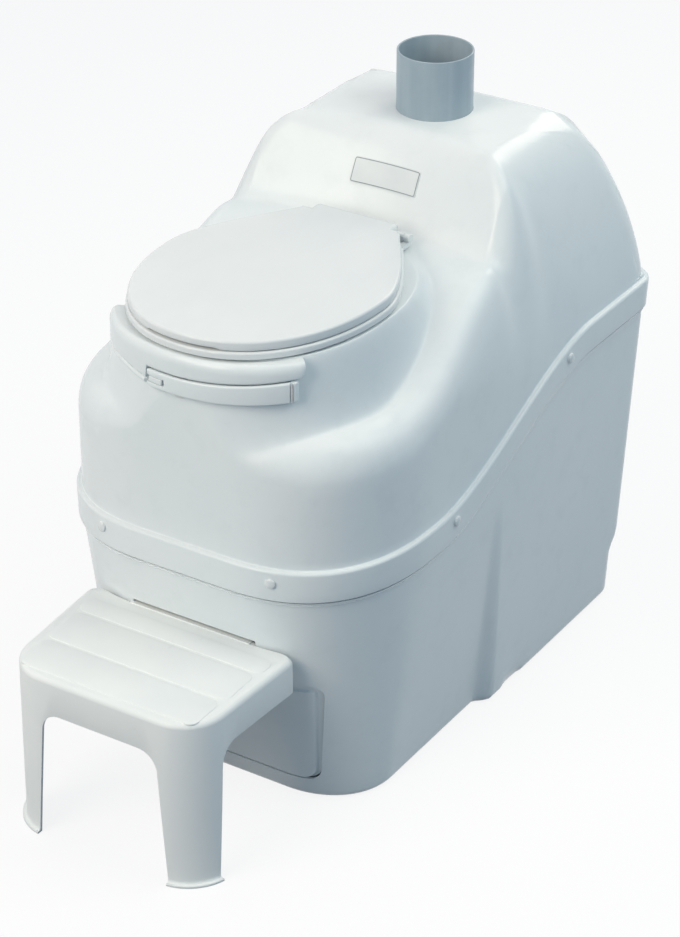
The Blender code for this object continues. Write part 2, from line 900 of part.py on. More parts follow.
def make_bowl_liner():
    """A funnel that hangs in the deck's opening and ends above the drum."""
    wall = drum_wall
    outer_flange = fit_gap + opening_lip * 0.6
    bottom = drum_height + drum_radius + opening_lip * 0.6
    flange = deck_height + fit_gap
    inset = fit_gap + shell_wall
    levels = [(outer_flange, flange), (outer_flange, flange + wall * 0.6),
              (-inset - wall, flange + wall * 0.6), (-inset * 3.2 - wall, bottom),
              (-inset * 3.2, bottom), (-inset - fit_gap, flange)]
    rings = [[(x, y, z) for x, y in ellipse(opening_half_width + grow, opening_half_length + grow,
                                            round_segments + small_segments)] for grow, z in levels]
    count = len(rings[0])
    points = [point for ring in rings for point in ring]
    faces = ring_faces(len(rings), count)
    last = (len(rings) - 1) * count
    faces += [(last + s, last + (s + 1) % count, (s + 1) % count, s) for s in range(count)]
    object_from_faces("bowl_liner", points, faces, seat_plastic())


def hinge_stack():
    """Inner and outer x of the lid lug, the hinge block and the ring lug, in that order."""
    lid_end = lid_tab_half_width
    block_start = lid_end + hinge_side_gap
    ring_start = block_start + hinge_block_width + hinge_side_gap
    return ((lid_end - hinge_lug_width, lid_end), (block_start, block_start + hinge_block_width),
            (ring_start, ring_start + hinge_lug_width))


def hinge_centre():
    return Vector((0.0, hinge_y, deck_height + hinge_height))


def hinge_lug(name, start, end, finish):
    return turned(name, [(hinge_lug_radius, start), (hinge_lug_radius, end)], "X", finish,
                  hinge_centre(), small_segments)


def hinge_bore(start, end, side):
    radius = hinge_pin_radius + fit_gap
    low, high = sorted((side * (start - cut_overrun * 0.1), side * (end + cut_overrun * 0.1)))
    return turned("hinge_bore", [(radius, low), (radius, high)], "X", steel(), hinge_centre(),
                  small_segments)


seat_front_steps = 12
seat_rear_steps = 9


def ring_bottom():
    return deck_height + bumper_height


def seat_outline(grow, rear_y):
    """Right half of the seat's outline, from the front middle to its rear corner."""
    half, length = seat_half_width + grow, seat_front_length + grow
    power = 2.0 / seat_squareness
    outline = []
    for step in range(seat_front_steps + 1):
        spoke = math.radians(90.0 * step / seat_front_steps)
        outline.append((half * math.sin(spoke) ** power, seat_waist_y - length * math.cos(spoke) ** power))
    start, side = (half, seat_waist_y), (half, seat_waist_y + seat_side_pull)
    end = (seat_rear_x + grow, seat_rear_y + grow)
    pull = (end[0] + seat_rear_pull_x, end[1] - seat_rear_pull_y)
    for step in range(1, seat_rear_steps + 1):
        t = step / seat_rear_steps
        weights = ((1.0 - t) ** 3, 3.0 * t * (1.0 - t) ** 2, 3.0 * t * t * (1.0 - t), t ** 3)
        corner = [sum(w * point[axis] for w, point in zip(weights, (start, side, pull, end)))
                  for axis in (0, 1)]
        outline.append((corner[0], min(corner[1], rear_y + grow)))
    return outline


def mirrored(outline):
    """The whole outline; points on the middle line are used once."""
    left = [(-x, y) for x, y in reversed(outline) if abs(x) > fit_gap]
    return outline + left


def make_seat_ring():
    """The closed-front ring, with a rounded edge and two lugs at the back."""
    bottom, top = ring_bottom(), ring_bottom() + ring_thickness
    outer = [(0.0, bottom), (0.0, top - ring_edge), (-ring_edge * 0.3, top - ring_edge * 0.3),
             (-ring_edge, top)]
    rings = [[(x, y, z) for x, y in mirrored(seat_outline(ring_grow + grow, ring_rear_y))]
             for grow, z in outer]
    segments = len(rings[0])
    for grow, z in ((ring_edge * 1.5, top), (ring_edge * 0.3, top - ring_edge), (0.0, bottom)):
        hole = [(x, y, z) for x, y in ellipse(ring_hole_half_width + grow,
                                              ring_hole_half_length + grow, segments)]
        rings.append(hole)
    points = [point for ring in rings for point in ring]
    faces = ring_faces(len(rings), segments)
    last = (len(rings) - 1) * segments
    faces += [(last + s, last + (s + 1) % segments, (s + 1) % segments, s) for s in range(segments)]
    ring = object_from_faces("seat_ring", points, faces, seat_plastic())
    start, end = hinge_stack()[2]
    for side in (1.0, -1.0):
        low, high = sorted((side * start, side * end))
        arm = box("arm", (low, -hinge_lug_radius, bottom + fit_gap), (high, hinge_y, top - ring_edge),
                  seat_plastic())
        joined(arm, hinge_lug("lug", low, high, seat_plastic()))
        joined(ring, arm)
        cut(ring, hinge_bore(start, end, side))
    return with_origin(ring, hinge_centre())


def lid_bottom():
    return ring_bottom() + ring_thickness + lid_gap


def lid_outline(grow):
    """The seat's outline with a straight tab at the back, between the hinge blocks."""
    tab, rear, corner = lid_tab_half_width + grow, lid_tab_rear_y + grow, lid_tab_corner
    outline = seat_outline(grow, seat_rear_y)
    outline += [(tab, seat_rear_y + grow), (tab, rear - corner), (tab - corner, rear),
                (tab * 0.5, rear), (0.0, rear)]
    return mirrored(outline)


def make_seat_lid():
    """A domed cover with a skirt, hollow below, that swings on the same pins."""
    bottom = lid_bottom()
    top = bottom + lid_skirt
    outer = [(0.0, bottom), (0.0, top - lid_edge), (-lid_edge * 0.3, top - lid_edge * 0.3), (-lid_edge, top)]
    rings = [[(x, y, z) for x, y in lid_outline(grow)] for grow, z in outer]
    for share in (0.72, 0.38):
        rise = top + lid_crown * (1.0 - share * share)
        rings.append([(x * share, seat_centre_y + (y - seat_centre_y) * share, rise)
                      for x, y in lid_outline(-lid_edge)])
    under = [[(x * share, seat_centre_y + (y - seat_centre_y) * share, top - lid_wall)
              for x, y in lid_outline(-lid_edge)] for share in (0.38,)]
    under += [[(x, y, top - lid_wall) for x, y in lid_outline(-lid_wall * 1.6)]]
    under += [[(x, y, bottom) for x, y in lid_outline(-lid_wall)]]
    crown = Vector((0.0, seat_centre_y, top + lid_crown))
    below = Vector((0.0, seat_centre_y, top - lid_wall))
    points = [point for ring in rings + under for point in ring] + [crown, below]
    count = len(rings[0])
    split = len(rings) * count
    faces = ring_faces(len(rings), count)
    faces += [tuple(split + i for i in face) for face in ring_faces(len(under), count)]
    tip, base = len(points) - 2, len(points) - 1
    last = (len(rings) - 1) * count
    end = (len(rings) + len(under) - 1) * count
    for s in range(count):
        after = (s + 1) % count
        faces.append((last + s, last + after, tip))
        faces.append((split + after, split + s, base))
        faces.append((end + s, end + after, after, s))
    lid = object_from_faces("seat_lid", points, faces, seat_plastic())
    start, end_x = hinge_stack()[0]
    for side in (1.0, -1.0):
        low, high = sorted((side * start, side * end_x))
        lug = hinge_lug("lug", low + side * fit_gap * 0.5, high - side * fit_gap * 0.5, seat_plastic())
        joined(lid, lug)
        cut(lid, hinge_bore(start, end_x, side))
    return with_origin(lid, hinge_centre())


def make_seat_fittings():
    """Hinge blocks and pins on the deck, and the rubber bumpers."""
    lid_lug, block_span, ring_lug = hinge_stack()
    centre = hinge_centre()
    for side, word in ((-1.0, "left"), (1.0, "right")):
        low, high = sorted((side * block_span[0], side * block_span[1]))
        half = hinge_block_depth / 2.0
        outline = [(hinge_y - half, deck_height + fit_gap), (hinge_y + half, deck_height + fit_gap)]
        for step in range(7):
            spoke = math.radians(180.0 * step / 6.0)
            outline.append((hinge_y + hinge_lug_radius * math.cos(spoke),
                            centre.z + hinge_lug_radius * math.sin(spoke)))
        block = prism(f"seat_hinge_block_{word}", outline, low, high, "X", seat_plastic())
        cut(block, hinge_bore(block_span[0], block_span[1], side))
        start, end = sorted((side * (lid_lug[0] + fit_gap), side * (ring_lug[1] - fit_gap)))
        turned(f"seat_hinge_pin_{word}", [(hinge_pin_radius, start), (hinge_pin_radius, end)], "X",
               steel(), centre, small_segments)
    spread_x, front_y, rear_y = 0.66, -0.62, 0.55
    number = 0
    for share_x, share_y in ((-spread_x, front_y), (spread_x, front_y), (-spread_x, rear_y),
                             (spread_x, rear_y)):
        number += 1
        place = (share_x * pedestal_half_width, seat_centre_y + share_y * pedestal_half_length, 0.0)
        turned(f"ring_bumper_{number}", [(bumper_radius, deck_height + fit_gap),
                                         (bumper_radius * 0.8, ring_bottom() - fit_gap)], "Z",
               rubber(), place, small_segments)


def around(span, reach, height):
    """A point beside the pedestal; span is degrees from the front, reach is outward."""
    spoke = math.radians(span)
    power = 2.0 / pedestal_squareness
    across = math.copysign(abs(math.sin(spoke)) ** power, spoke)
    return Vector(((pedestal_half_width + reach) * across,
                   seat_centre_y - (pedestal_half_length + reach) * math.cos(spoke) ** power, height))


def outward(span):
    along = around(span + 1.0, 0.0, 0.0) - around(span - 1.0, 0.0, 0.0)
    return Vector((along.y, -along.x, 0.0)).normalized()


def band(name, section, start, end, steps, finish):
    """A bar bent round the pedestal; the section lists reach and height."""
    spans = [mixed(start, end, step / steps) for step in range(steps + 1)]
    rings = [[around(span, reach, height) for reach, height in section] for span in spans]
    return loft(name, rings, finish)


def make_front_lip():
    """The rim moulding that overhangs the crank at the front of the seat."""
    top = deck_height - fit_gap
    section = [(lip_reach - lip_edge, lip_bottom), (lip_reach, lip_bottom + lip_edge),
               (lip_reach, top - lip_nose), (lip_reach - lip_edge * 0.6, top - lip_edge),
               (lip_reach - lip_nose * 0.6, top)]
    for share in (0.94, 0.78, 0.60, 0.40, 0.20, 0.0):
        height = mixed(lip_bottom, top, share)
        section.append((pedestal_reach(height) + fit_gap, height))
    return band("front_lip", section, -lip_span, lip_span, 18, gelcoat())


def make_crank():
    """The fold-out crank bar, its bracket and its upright pin."""
    low = crank_height - crank_bar_height / 2.0
    high = crank_height + crank_bar_height / 2.0
    chamfer = crank_bar_depth * 0.3
    inner = crank_reach - crank_bar_depth
    section = [(inner, low), (crank_reach - chamfer, low), (crank_reach, low + chamfer),
               (crank_reach, high - chamfer), (crank_reach - chamfer, high), (inner, high)]
    bar = band("crank_handle", section, crank_span_start, crank_span_end, 14, gelcoat())
    pivot = around(crank_pivot_span, crank_pivot_reach, 0.0)
    knuckle = turned("knuckle", [(crank_knuckle_radius, low), (crank_knuckle_radius, high)], "Z",
                     gelcoat(), pivot, small_segments)
    link = [around(crank_span_end - 1.0, inner, 0.0), around(crank_span_end - 1.0, crank_reach, 0.0),
            pivot + outward(crank_pivot_span) * crank_knuckle_radius * 0.8,
            pivot - outward(crank_pivot_span) * crank_knuckle_radius * 0.6]
    joined(knuckle, prism("link", [(p.x, p.y) for p in link], low + chamfer, high - chamfer, "Z", gelcoat()))
    joined(bar, knuckle)
    notch_section = [(inner - chamfer, low - chamfer), (crank_reach + chamfer, low - chamfer),
                     (crank_reach + chamfer, low + crank_notch_height),
                     (inner - chamfer, low + crank_notch_height)]
    cut(bar, band("notch", notch_section, crank_span_start - 2.0, crank_span_start + crank_notch_span, 4,
                  gelcoat()))
    bore = crank_pin_radius + fit_gap
    cut(bar, turned("bore", [(bore, low - cut_overrun), (bore, high + cut_overrun)], "Z", steel(),
                    pivot, small_segments))
    with_origin(bar, (pivot.x, pivot.y, crank_height))
    ear_low, ear_high = low - fit_gap - crank_ear, high + fit_gap + crank_ear
    outline_out = outward(crank_pivot_span)
    sideways = Vector((-outline_out.y, outline_out.x, 0.0))
    half = crank_knuckle_radius
    back = crank_knuckle_radius + fit_gap

    def footprint(inner_reach, outer_reach, breadth):
        corners = [(inner_reach, -breadth), (outer_reach, -breadth), (outer_reach, breadth),
                   (inner_reach, breadth)]
        return [tuple((pivot + outline_out * u + sideways * v)[:2]) for u, v in corners]

    rings = []
    for height in [mixed(ear_low, ear_high, step / 6.0) for step in range(7)]:
        seat = pedestal_reach(height) - bracket_sink - crank_pivot_reach
        rings.append([(x, y, height) for x, y in footprint(min(seat, -back - bracket_back), half, half)])
    bracket = loft("crank_bracket", rings, steel())
    gap = prism("gap", footprint(-back, half + cut_overrun, half + cut_overrun),
                low - fit_gap, high + fit_gap, "Z", steel())
    cut(bracket, gap)
    cut(bracket, turned("bore", [(bore, ear_low - cut_overrun), (bore, ear_high + cut_overrun)], "Z",
                        steel(), pivot, small_segments))
    turned("crank_pin", [(crank_pin_radius, ear_low), (crank_pin_radius, ear_high)], "Z", steel(),
           pivot, small_segments)
    return bar


def lock_axis():
    """Where the drum lock meets the pedestal, and its outward direction."""
    height = crank_height - crank_bar_height / 2.0 + crank_notch_height / 2.0
    return around(lock_span, 0.0, height), outward(lock_span)


def lock_hole():
    place, direction = lock_axis()
    radius = lock_stem_radius + fit_gap * 2.0
    hole = turned("lock_hole", [(radius, -cut_overrun), (radius, cut_overrun)], "X", steel(),
                  segments=small_segments)
    return aligned(hole, place, direction)


def make_drum_lock():
    """A small tab in the crank's notch, on a stem, that is pulled out to free the drum."""
    place, direction = lock_axis()
    start = lock_knob_start
    end = start + lock_knob_length
    half_long, half_tall = lock_knob_width / 2.0, lock_knob_height / 2.0
    edge = lock_knob_length * 0.2
    rings = []
    for along, grow in ((start, 0.0), (end - edge, 0.0), (end, -edge)):
        outline = rounded_rectangle((-half_long - grow, -half_tall - grow), (half_long + grow,
                                    half_tall + grow), half_tall * 0.5, 2)
        rings.append(placed(outline, along, "X"))
    plunger = loft("drum_lock_plunger", rings, gelcoat())
    joined(plunger, turned("stem", [(lock_stem_radius, start - lock_stem_length),
                                    (lock_stem_radius, start + edge)], "X", gelcoat(),
                           segments=small_segments))
    aligned(plunger, place, direction)
    return with_origin(plunger, place)


def gear_module():
    return 2.0 * (drive_height - drum_height) / (gear_teeth + pinion_teeth)


addendum_share = 0.75
dedendum_share = 1.05
tooth_root_share = 0.52
tooth_tip_share = 0.24


def gear_outline(teeth, phase):
    """Straight-flanked teeth; phase turns the gear by that share of a tooth."""
    module = gear_module()
    pitch_radius = module * teeth / 2.0
    tip, root = pitch_radius + module * addendum_share, pitch_radius - module * dedendum_share
    outline = []
    for tooth in range(teeth):
        middle = 2.0 * math.pi * (tooth + phase) / teeth
        for share, radius in ((-tooth_root_share, root), (-tooth_tip_share, tip), (tooth_tip_share, tip),
                              (tooth_root_share, root)):
            spoke = middle + share * math.pi / teeth
            outline.append((radius * math.cos(spoke), radius * math.sin(spoke)))
    return outline


def drum_centre():
    return Vector((0.0, 0.0, drum_height))


def make_drum_gear():
    """The toothed ring on the drum's front end, with its hub and spokes as one disc."""
    outer = gear_outline(gear_teeth, 0.25 * gear_teeth % 1.0 + 0.0)
    gear = prism("drum_ring_gear", outer, gear_front_y, gear_front_y + gear_face, "Y", drum_plastic(),
                 drum_centre())
    rim = gear_module() * (gear_teeth / 2.0 - dedendum_share) - mixing_bar_radius * 2.0
    hub = axle_radius * 2.4
    web = 0.40
    for spoke in range(5):
        first = 2.0 * math.pi * (spoke + 0.5) / 5.0
        span = math.pi * web * 2.0 / 5.0
        spokes = [first + span * (step / 3.0 - 1.0) * 1.0 for step in range(7)]
        window = [(rim * math.cos(a), rim * math.sin(a)) for a in spokes]
        window += [(hub * math.cos(a), hub * math.sin(a)) for a in (spokes[-1], spokes[0])]
        cut(gear, prism("window", window, gear_front_y - cut_overrun, gear_front_y + gear_face
                        + cut_overrun, "Y", drum_plastic(), drum_centre()))
    bore = axle_radius + fit_gap
    cut(gear, turned("bore", [(bore, gear_front_y - cut_overrun), (bore, gear_front_y + gear_face
                                                                   + cut_overrun)], "Y",
                     steel(), drum_centre(), small_segments))
    return with_origin(gear, drum_centre())


def make_drum():
    """Perforated-end drum: shell with a hatch, two end plates, bars, axles and a door."""
    front, rear = drum_front_y, drum_rear_y
    levels = (front, hatch_front_y, hatch_rear_y, rear)
    spokes = [2.0 * math.pi * (step + 0.5) / drum_segments for step in range(drum_segments)]
    rings = [[(drum_radius * math.sin(a), y, drum_height + drum_radius * math.cos(a)) for a in spokes]
             for y in levels]
    points = [point for ring in rings for point in ring]
    faces = ring_faces(len(rings), drum_segments)
    half = hatch_segments // 2
    open_cells = {drum_segments + (cell - half) % drum_segments for cell in range(hatch_segments)}
    shift = drum_segments
    kept = [face for index, face in enumerate(faces)
            if not (shift <= index < 2 * shift and (index - 1 + 1) in open_cells)]
    shell = object_from_faces("drum_shell", points, kept, drum_plastic())
    solidified(shell, drum_wall)
    with_origin(shell, drum_centre())
    plate_radius = (drum_radius - drum_wall - fit_gap) * math.cos(math.pi / drum_segments)
    for name, start in (("drum_front_plate", front), ("drum_rear_plate", rear - end_plate)):
        bore = axle_radius + fit_gap
        plate = turned_ring(name, [(bore, start), (plate_radius, start), (plate_radius, start + end_plate),
                                   (bore, start + end_plate)], "Y", drum_plastic(), drum_centre(),
                            drum_segments)
        with_origin(plate, drum_centre())
    bars_front, bars_rear = front + end_plate + fit_gap, rear - end_plate - fit_gap
    for number, angle in enumerate((120.0, 180.0, 240.0), start=1):
        spoke = math.radians(angle)
        place = (mixing_bar_circle * math.sin(spoke), 0.0, drum_height + mixing_bar_circle * math.cos(spoke))
        bar = turned(f"mixing_bar_{number}", [(mixing_bar_radius, bars_front),
                                              (mixing_bar_radius, bars_rear)], "Y", steel(), place, 8)
        with_origin(bar, drum_centre())
    axle_front = front_bearing_y - fit_gap
    front_axle = turned("drum_front_axle", [(axle_radius, axle_front),
                                            (axle_radius, front + end_plate + drum_wall)], "Y", steel(),
                        drum_centre(), small_segments)
    rear_axle = turned("drum_rear_axle", [(axle_radius, rear - end_plate - drum_wall),
                                          (axle_radius, rear_bearing_y + bearing_plate + drum_wall)], "Y",
                       steel(), drum_centre(), small_segments)
    with_origin(front_axle, drum_centre())
    with_origin(rear_axle, drum_centre())
    make_drum_door()


def door_hinge_point():
    """Axis of the drum door, inside the hatch's left edge."""
    half = math.pi * hatch_segments / drum_segments
    reach = drum_radius - drum_wall - fit_gap * 2.0 - drum_wall - door_pin_radius * door_barrel_share
    edge = half + door_overlap / drum_radius
    return Vector((-reach * math.sin(edge), 0.0, drum_height + reach * math.cos(edge))), edge


def make_drum_door():
    """A curved door that closes the hatch from inside and swings inward on its pin."""
    hinge, edge = door_hinge_point()
    outer = drum_radius - drum_wall - fit_gap * 2.0
    inner = outer - drum_wall
    steps = hatch_segments + 2
    spokes = [mixed(-edge, edge, step / steps) for step in range(steps + 1)]
    outline = [(outer * math.sin(a), outer * math.cos(a)) for a in spokes]
    outline += [(inner * math.sin(a), inner * math.cos(a)) for a in reversed(spokes)]
    start, end = hatch_front_y - door_overlap, hatch_rear_y + door_overlap
    door = prism("drum_door", outline, start, end, "Y", drum_plastic(), drum_centre())
    barrel = door_pin_radius * 2.0
    knuckle = turned("knuckle", [(barrel, start), (barrel, end)], "Y", drum_plastic(), hinge, 8)
    joined(door, knuckle)
    bore = door_pin_radius + fit_gap
    cut(door, turned("bore", [(bore, start - cut_overrun), (bore, end + cut_overrun)], "Y", steel(),
                     hinge, small_segments))
    with_origin(door, hinge)
    pin = turned("drum_door_pin", [(door_pin_radius, start - door_overlap),
                                   (door_pin_radius, end + door_overlap)], "Y", steel(), hinge,
                 small_segments)
    with_origin(pin, drum_centre())


def turning_bore(radius):
    """Radius of a faceted hole in which a shaft of the given radius can turn."""
    return (radius + fit_gap) / math.cos(math.pi / small_segments)


def make_drive():
    """Pinion, shaft and bush that carry the crank's turning to the drum's ring gear."""
    centre = Vector((0.0, 0.0, drive_height))
    middle = gear_front_y + gear_face / 2.0
    outer = gear_outline(pinion_teeth, 0.25 * pinion_teeth % 1.0 + 0.5)
    pinion = prism("drive_pinion", outer, middle - pinion_face / 2.0, middle + pinion_face / 2.0, "Y",
                   drum_plastic(), centre)
    bore = drive_shaft_radius + fit_gap
    cut(pinion, turned("bore", [(bore, middle - cut_overrun), (bore, middle + cut_overrun)], "Y",
                       steel(), centre, small_segments))
    with_origin(pinion, centre)
    bush_front = front_seam_y - fit_gap
    bush_rear = bush_front + drive_bush_length
    bush_bore = turning_bore(drive_shaft_radius)
    turned_ring("drive_bush", [(bush_bore, bush_front), (drive_bush_radius, bush_front),
                               (drive_bush_radius, bush_rear), (bush_bore, bush_rear)], "Y", rubber(),
                centre, small_segments)
    shaft = turned("drive_shaft", [(drive_shaft_radius, bush_front - fit_gap),
                                   (drive_shaft_radius, middle + pinion_face)], "Y", steel(), centre,
                   small_segments)
    with_origin(shaft, centre)


def bearing_outline(low, high):
    """A plate with a round top, for a bearing at the drum's height."""
    outline = [(-bearing_half_width, low), (bearing_half_width, low)]
    for step in range(9):
        spoke = math.radians(180.0 * step / 8.0)
        outline.append((bearing_half_width * math.cos(spoke), high + bearing_half_width * math.sin(spoke)))
    return outline


def make_bearings():
    """The front bracket on the tub's wall and the rear post on the tub's floor."""
    bore = turning_bore(axle_radius)
    for name, y, foot in (("front_bearing_bracket", front_bearing_y, front_bearing_foot),
                          ("rear_bearing_post", rear_bearing_y, shell_wall + fit_gap)):
        plate = prism(name, bearing_outline(foot, drum_height), y, y + bearing_plate, "Y", steel())
        if foot > drum_height / 2.0:
            wall_y = front_wall_y(foot) + shell_wall + fit_gap
            tab = box("tab", (-bearing_half_width, wall_y, foot),
                      (bearing_half_width, y + bearing_plate / 2.0, foot + bearing_plate * 2.0), steel())
        else:
            tab = box("tab", (-bearing_half_width, y, foot),
                      (bearing_half_width, y + bearing_plate * 6.0, foot + bearing_plate / 2.0), steel())
        joined(plate, tab)
        cut(plate, turned("bore", [(bore, y - cut_overrun), (bore, y + bearing_plate + cut_overrun)], "Y",
                          steel(), drum_centre(), small_segments))


def wall_front_at(x, z):
    """Front face of the lower shell at the given place, read from its outline."""
    rise = min(z / front_seam_height, 1.0)
    corner_x = mixed(base_corner_x, seam_corner_x, rise)
    corner_y = mixed(base_corner_y, seam_corner_y, rise)
    squareness = mixed(base_squareness, seam_squareness, rise)
    start = rear_half_width(z) - side_tuck * taper(z) - corner_x
    beyond = min(max(abs(x) - start, 0.0) / corner_x, 1.0)
    return front_wall_y(z) + corner_y * (1.0 - (1.0 - beyond ** squareness) ** (1.0 / squareness))


def drawer_edge(z, shrink=0.0):
    """Half width of the drawer's opening at a height, with its rounded corners."""
    low, high = drawer_bottom + shrink, drawer_top - shrink
    share = (z - drawer_bottom) / (drawer_top - drawer_bottom)
    half = mixed(drawer_bottom_half_width, drawer_top_half_width, share) - shrink
    radius = drawer_corner - shrink
    inside = min(z - low, high - z)
    if inside >= radius:
        return half
    return half - radius + math.sqrt(max(radius ** 2 - (radius - inside) ** 2, 0.0))


def drawer_heights(shrink=0.0):
    low, high = drawer_bottom + shrink, drawer_top - shrink
    radius = drawer_corner - shrink
    shares = (0.0, 0.12, 0.45, 1.0)
    return [low + radius * share for share in shares] + [high - radius * share for share in reversed(shares)]


def drawer_opening():
    right = [(drawer_edge(z), z) for z in drawer_heights()]
    outline = right + [(-x, z) for x, z in reversed(right)]
    return prism("drawer_opening", outline, front_seam_y - cut_overrun,
                 front_seam_y + seam_corner_y * 0.7, "Y", gelcoat())


def make_drawer():
    """The finishing drawer: a front that follows the body, and an open tray."""
    shrink = fit_gap * 3.0
    rim_top = drawer_top - drawer_rim
    heights = drawer_heights(shrink)
    heights[-3:-3] = [rim_top - drawer_proud, rim_top - drawer_proud * 0.3, rim_top + drawer_proud * 0.3]
    heights = sorted(heights)

    def side_rim(z):
        return mixed(drawer_low_side_rim, drawer_side_rim, (z - drawer_bottom) / (drawer_top - drawer_bottom))

    def columns(z):
        """Places across the front, closer together at the rim."""
        half = drawer_edge(z, shrink)
        rim = half - side_rim(z)
        inner = [rim * math.sin(math.pi / 2.0 * step / 8.0) for step in range(8)]
        right = inner + [rim - drawer_proud * 0.3, rim + drawer_proud * 0.5, half]
        return [-x for x in reversed(right[1:])] + right

    def outer_depth(x, z):
        rim = drawer_edge(z, shrink) - side_rim(z)
        raised = abs(x) <= rim and z <= rim_top
        if not raised:
            return drawer_inset
        near = abs(x) > rim - drawer_proud * 0.6 or z > rim_top - drawer_proud * 0.6
        return drawer_inset - drawer_proud * (0.75 if near else 1.0)

    points = []
    for back in (False, True):
        for z in heights:
            for x in columns(z):
                depth = drawer_inset + drawer_panel if back else outer_depth(x, z)
                points.append((x, wall_front_at(x, z) + depth, z))
    across = len(columns(heights[0]))
    layer = across * len(heights)
    faces = []
    for row in range(len(heights) - 1):
        for column in range(across - 1):
            a = row * across + column
            faces.append((a, a + 1, a + 1 + across, a + across))
            faces.append((layer + a, layer + a + across, layer + a + across + 1, layer + a + 1))
    last = len(heights) - 1
    loop = list(range(across))
    loop += [row * across + across - 1 for row in range(1, len(heights))]
    loop += [last * across + column for column in range(across - 2, -1, -1)]
    loop += [row * across for row in range(last - 1, 0, -1)]
    for here, after in zip(loop, loop[1:] + loop[:1]):
        faces.append((here, layer + here, layer + after, after))
    object_from_faces("drawer_front", points, faces, gelcoat())

    front = wall_front_at(tray_half_width, tray_bottom) + drawer_inset + drawer_panel + fit_gap
    outside = box("finishing_drawer", (-tray_half_width, front, tray_bottom),
                  (tray_half_width, tray_rear_y, tray_top), drum_plastic())
    hollow = box("hollow", (-tray_half_width + tray_wall, front + tray_wall, tray_bottom + tray_wall),
                 (tray_half_width - tray_wall, tray_rear_y - tray_wall, tray_top + cut_overrun), drum_plastic())
    cut(outside, hollow)
    for side, word in ((-1.0, "left"), (1.0, "right")):
        foot = shell_wall + fit_gap
        top = tray_bottom - fit_gap
        inner, outer = side * (tray_half_width - runner_width), side * (tray_half_width + runner_thickness)
        web = side * tray_half_width
        outline = [(inner, top), (inner, top - runner_thickness), (web, top - runner_thickness), (web, foot),
                   (outer, foot), (outer, top)]
        prism(f"drawer_runner_{word}", outline, runner_front_y, tray_rear_y, "Y", steel())


def slot_cutter():
    outline = rounded_rectangle((-slot_half_width, slot_bottom), (slot_half_width, slot_top),
                                (slot_top - slot_bottom) * 0.3, 2)
    return prism("slot", outline, front_seam_y - cut_overrun, front_seam_y + cut_overrun * 2.0, "Y",
                 gelcoat())


def step_outline(grow):
    """Plan of the step: large corners in front, and a rear edge that follows the tub's wall."""
    half, front = step_half_width + grow, step_front_y - grow
    big = step_corner + grow
    outline = []
    for side in (1.0, -1.0):
        part = []
        for step in range(9):
            spoke = math.radians(90.0 * step / 8.0)
            part.append((half - big + big * math.sin(spoke), front + big - big * math.cos(spoke)))
        for step in range(3):
            spoke = math.radians(90.0 * step / 2.0)
            x = half - step_rear_corner * (1.0 - math.cos(spoke))
            part.append((x, step_rear(side * x) - step_rear_corner * (1.0 - math.sin(spoke))))
        for share in (0.8, 0.6, 0.4):
            part.append((step_half_width * share, step_rear(side * step_half_width * share)))
        part = [(side * x * flared(y), y) for x, y in part]
        outline += part if side > 0.0 else list(reversed(part))
    return outline


def flared(y):
    """The step is a little wider at the tub than at its front."""
    return 1.0 + step_flare_share * (y - step_front_y) / (step_rear_y - step_front_y)


def step_rear(x):
    """Rear edge of the step in its own frame, just clear of the tub."""
    return wall_front_at(x + step_shift, step_height) - step_wall_gap


def arch(half_low, half_high, height, radius, steps=5):
    """Outline of an arch with splayed sides and round top corners, foot to foot."""
    outline = [(-half_low, -cut_overrun)]
    for step in range(steps + 1):
        spoke = math.radians(90.0 * step / steps)
        outline.append((-half_high + radius - radius * math.cos(spoke), height - radius + radius
                        * math.sin(spoke)))
    return outline + [(-x, z) for x, z in reversed(outline)]


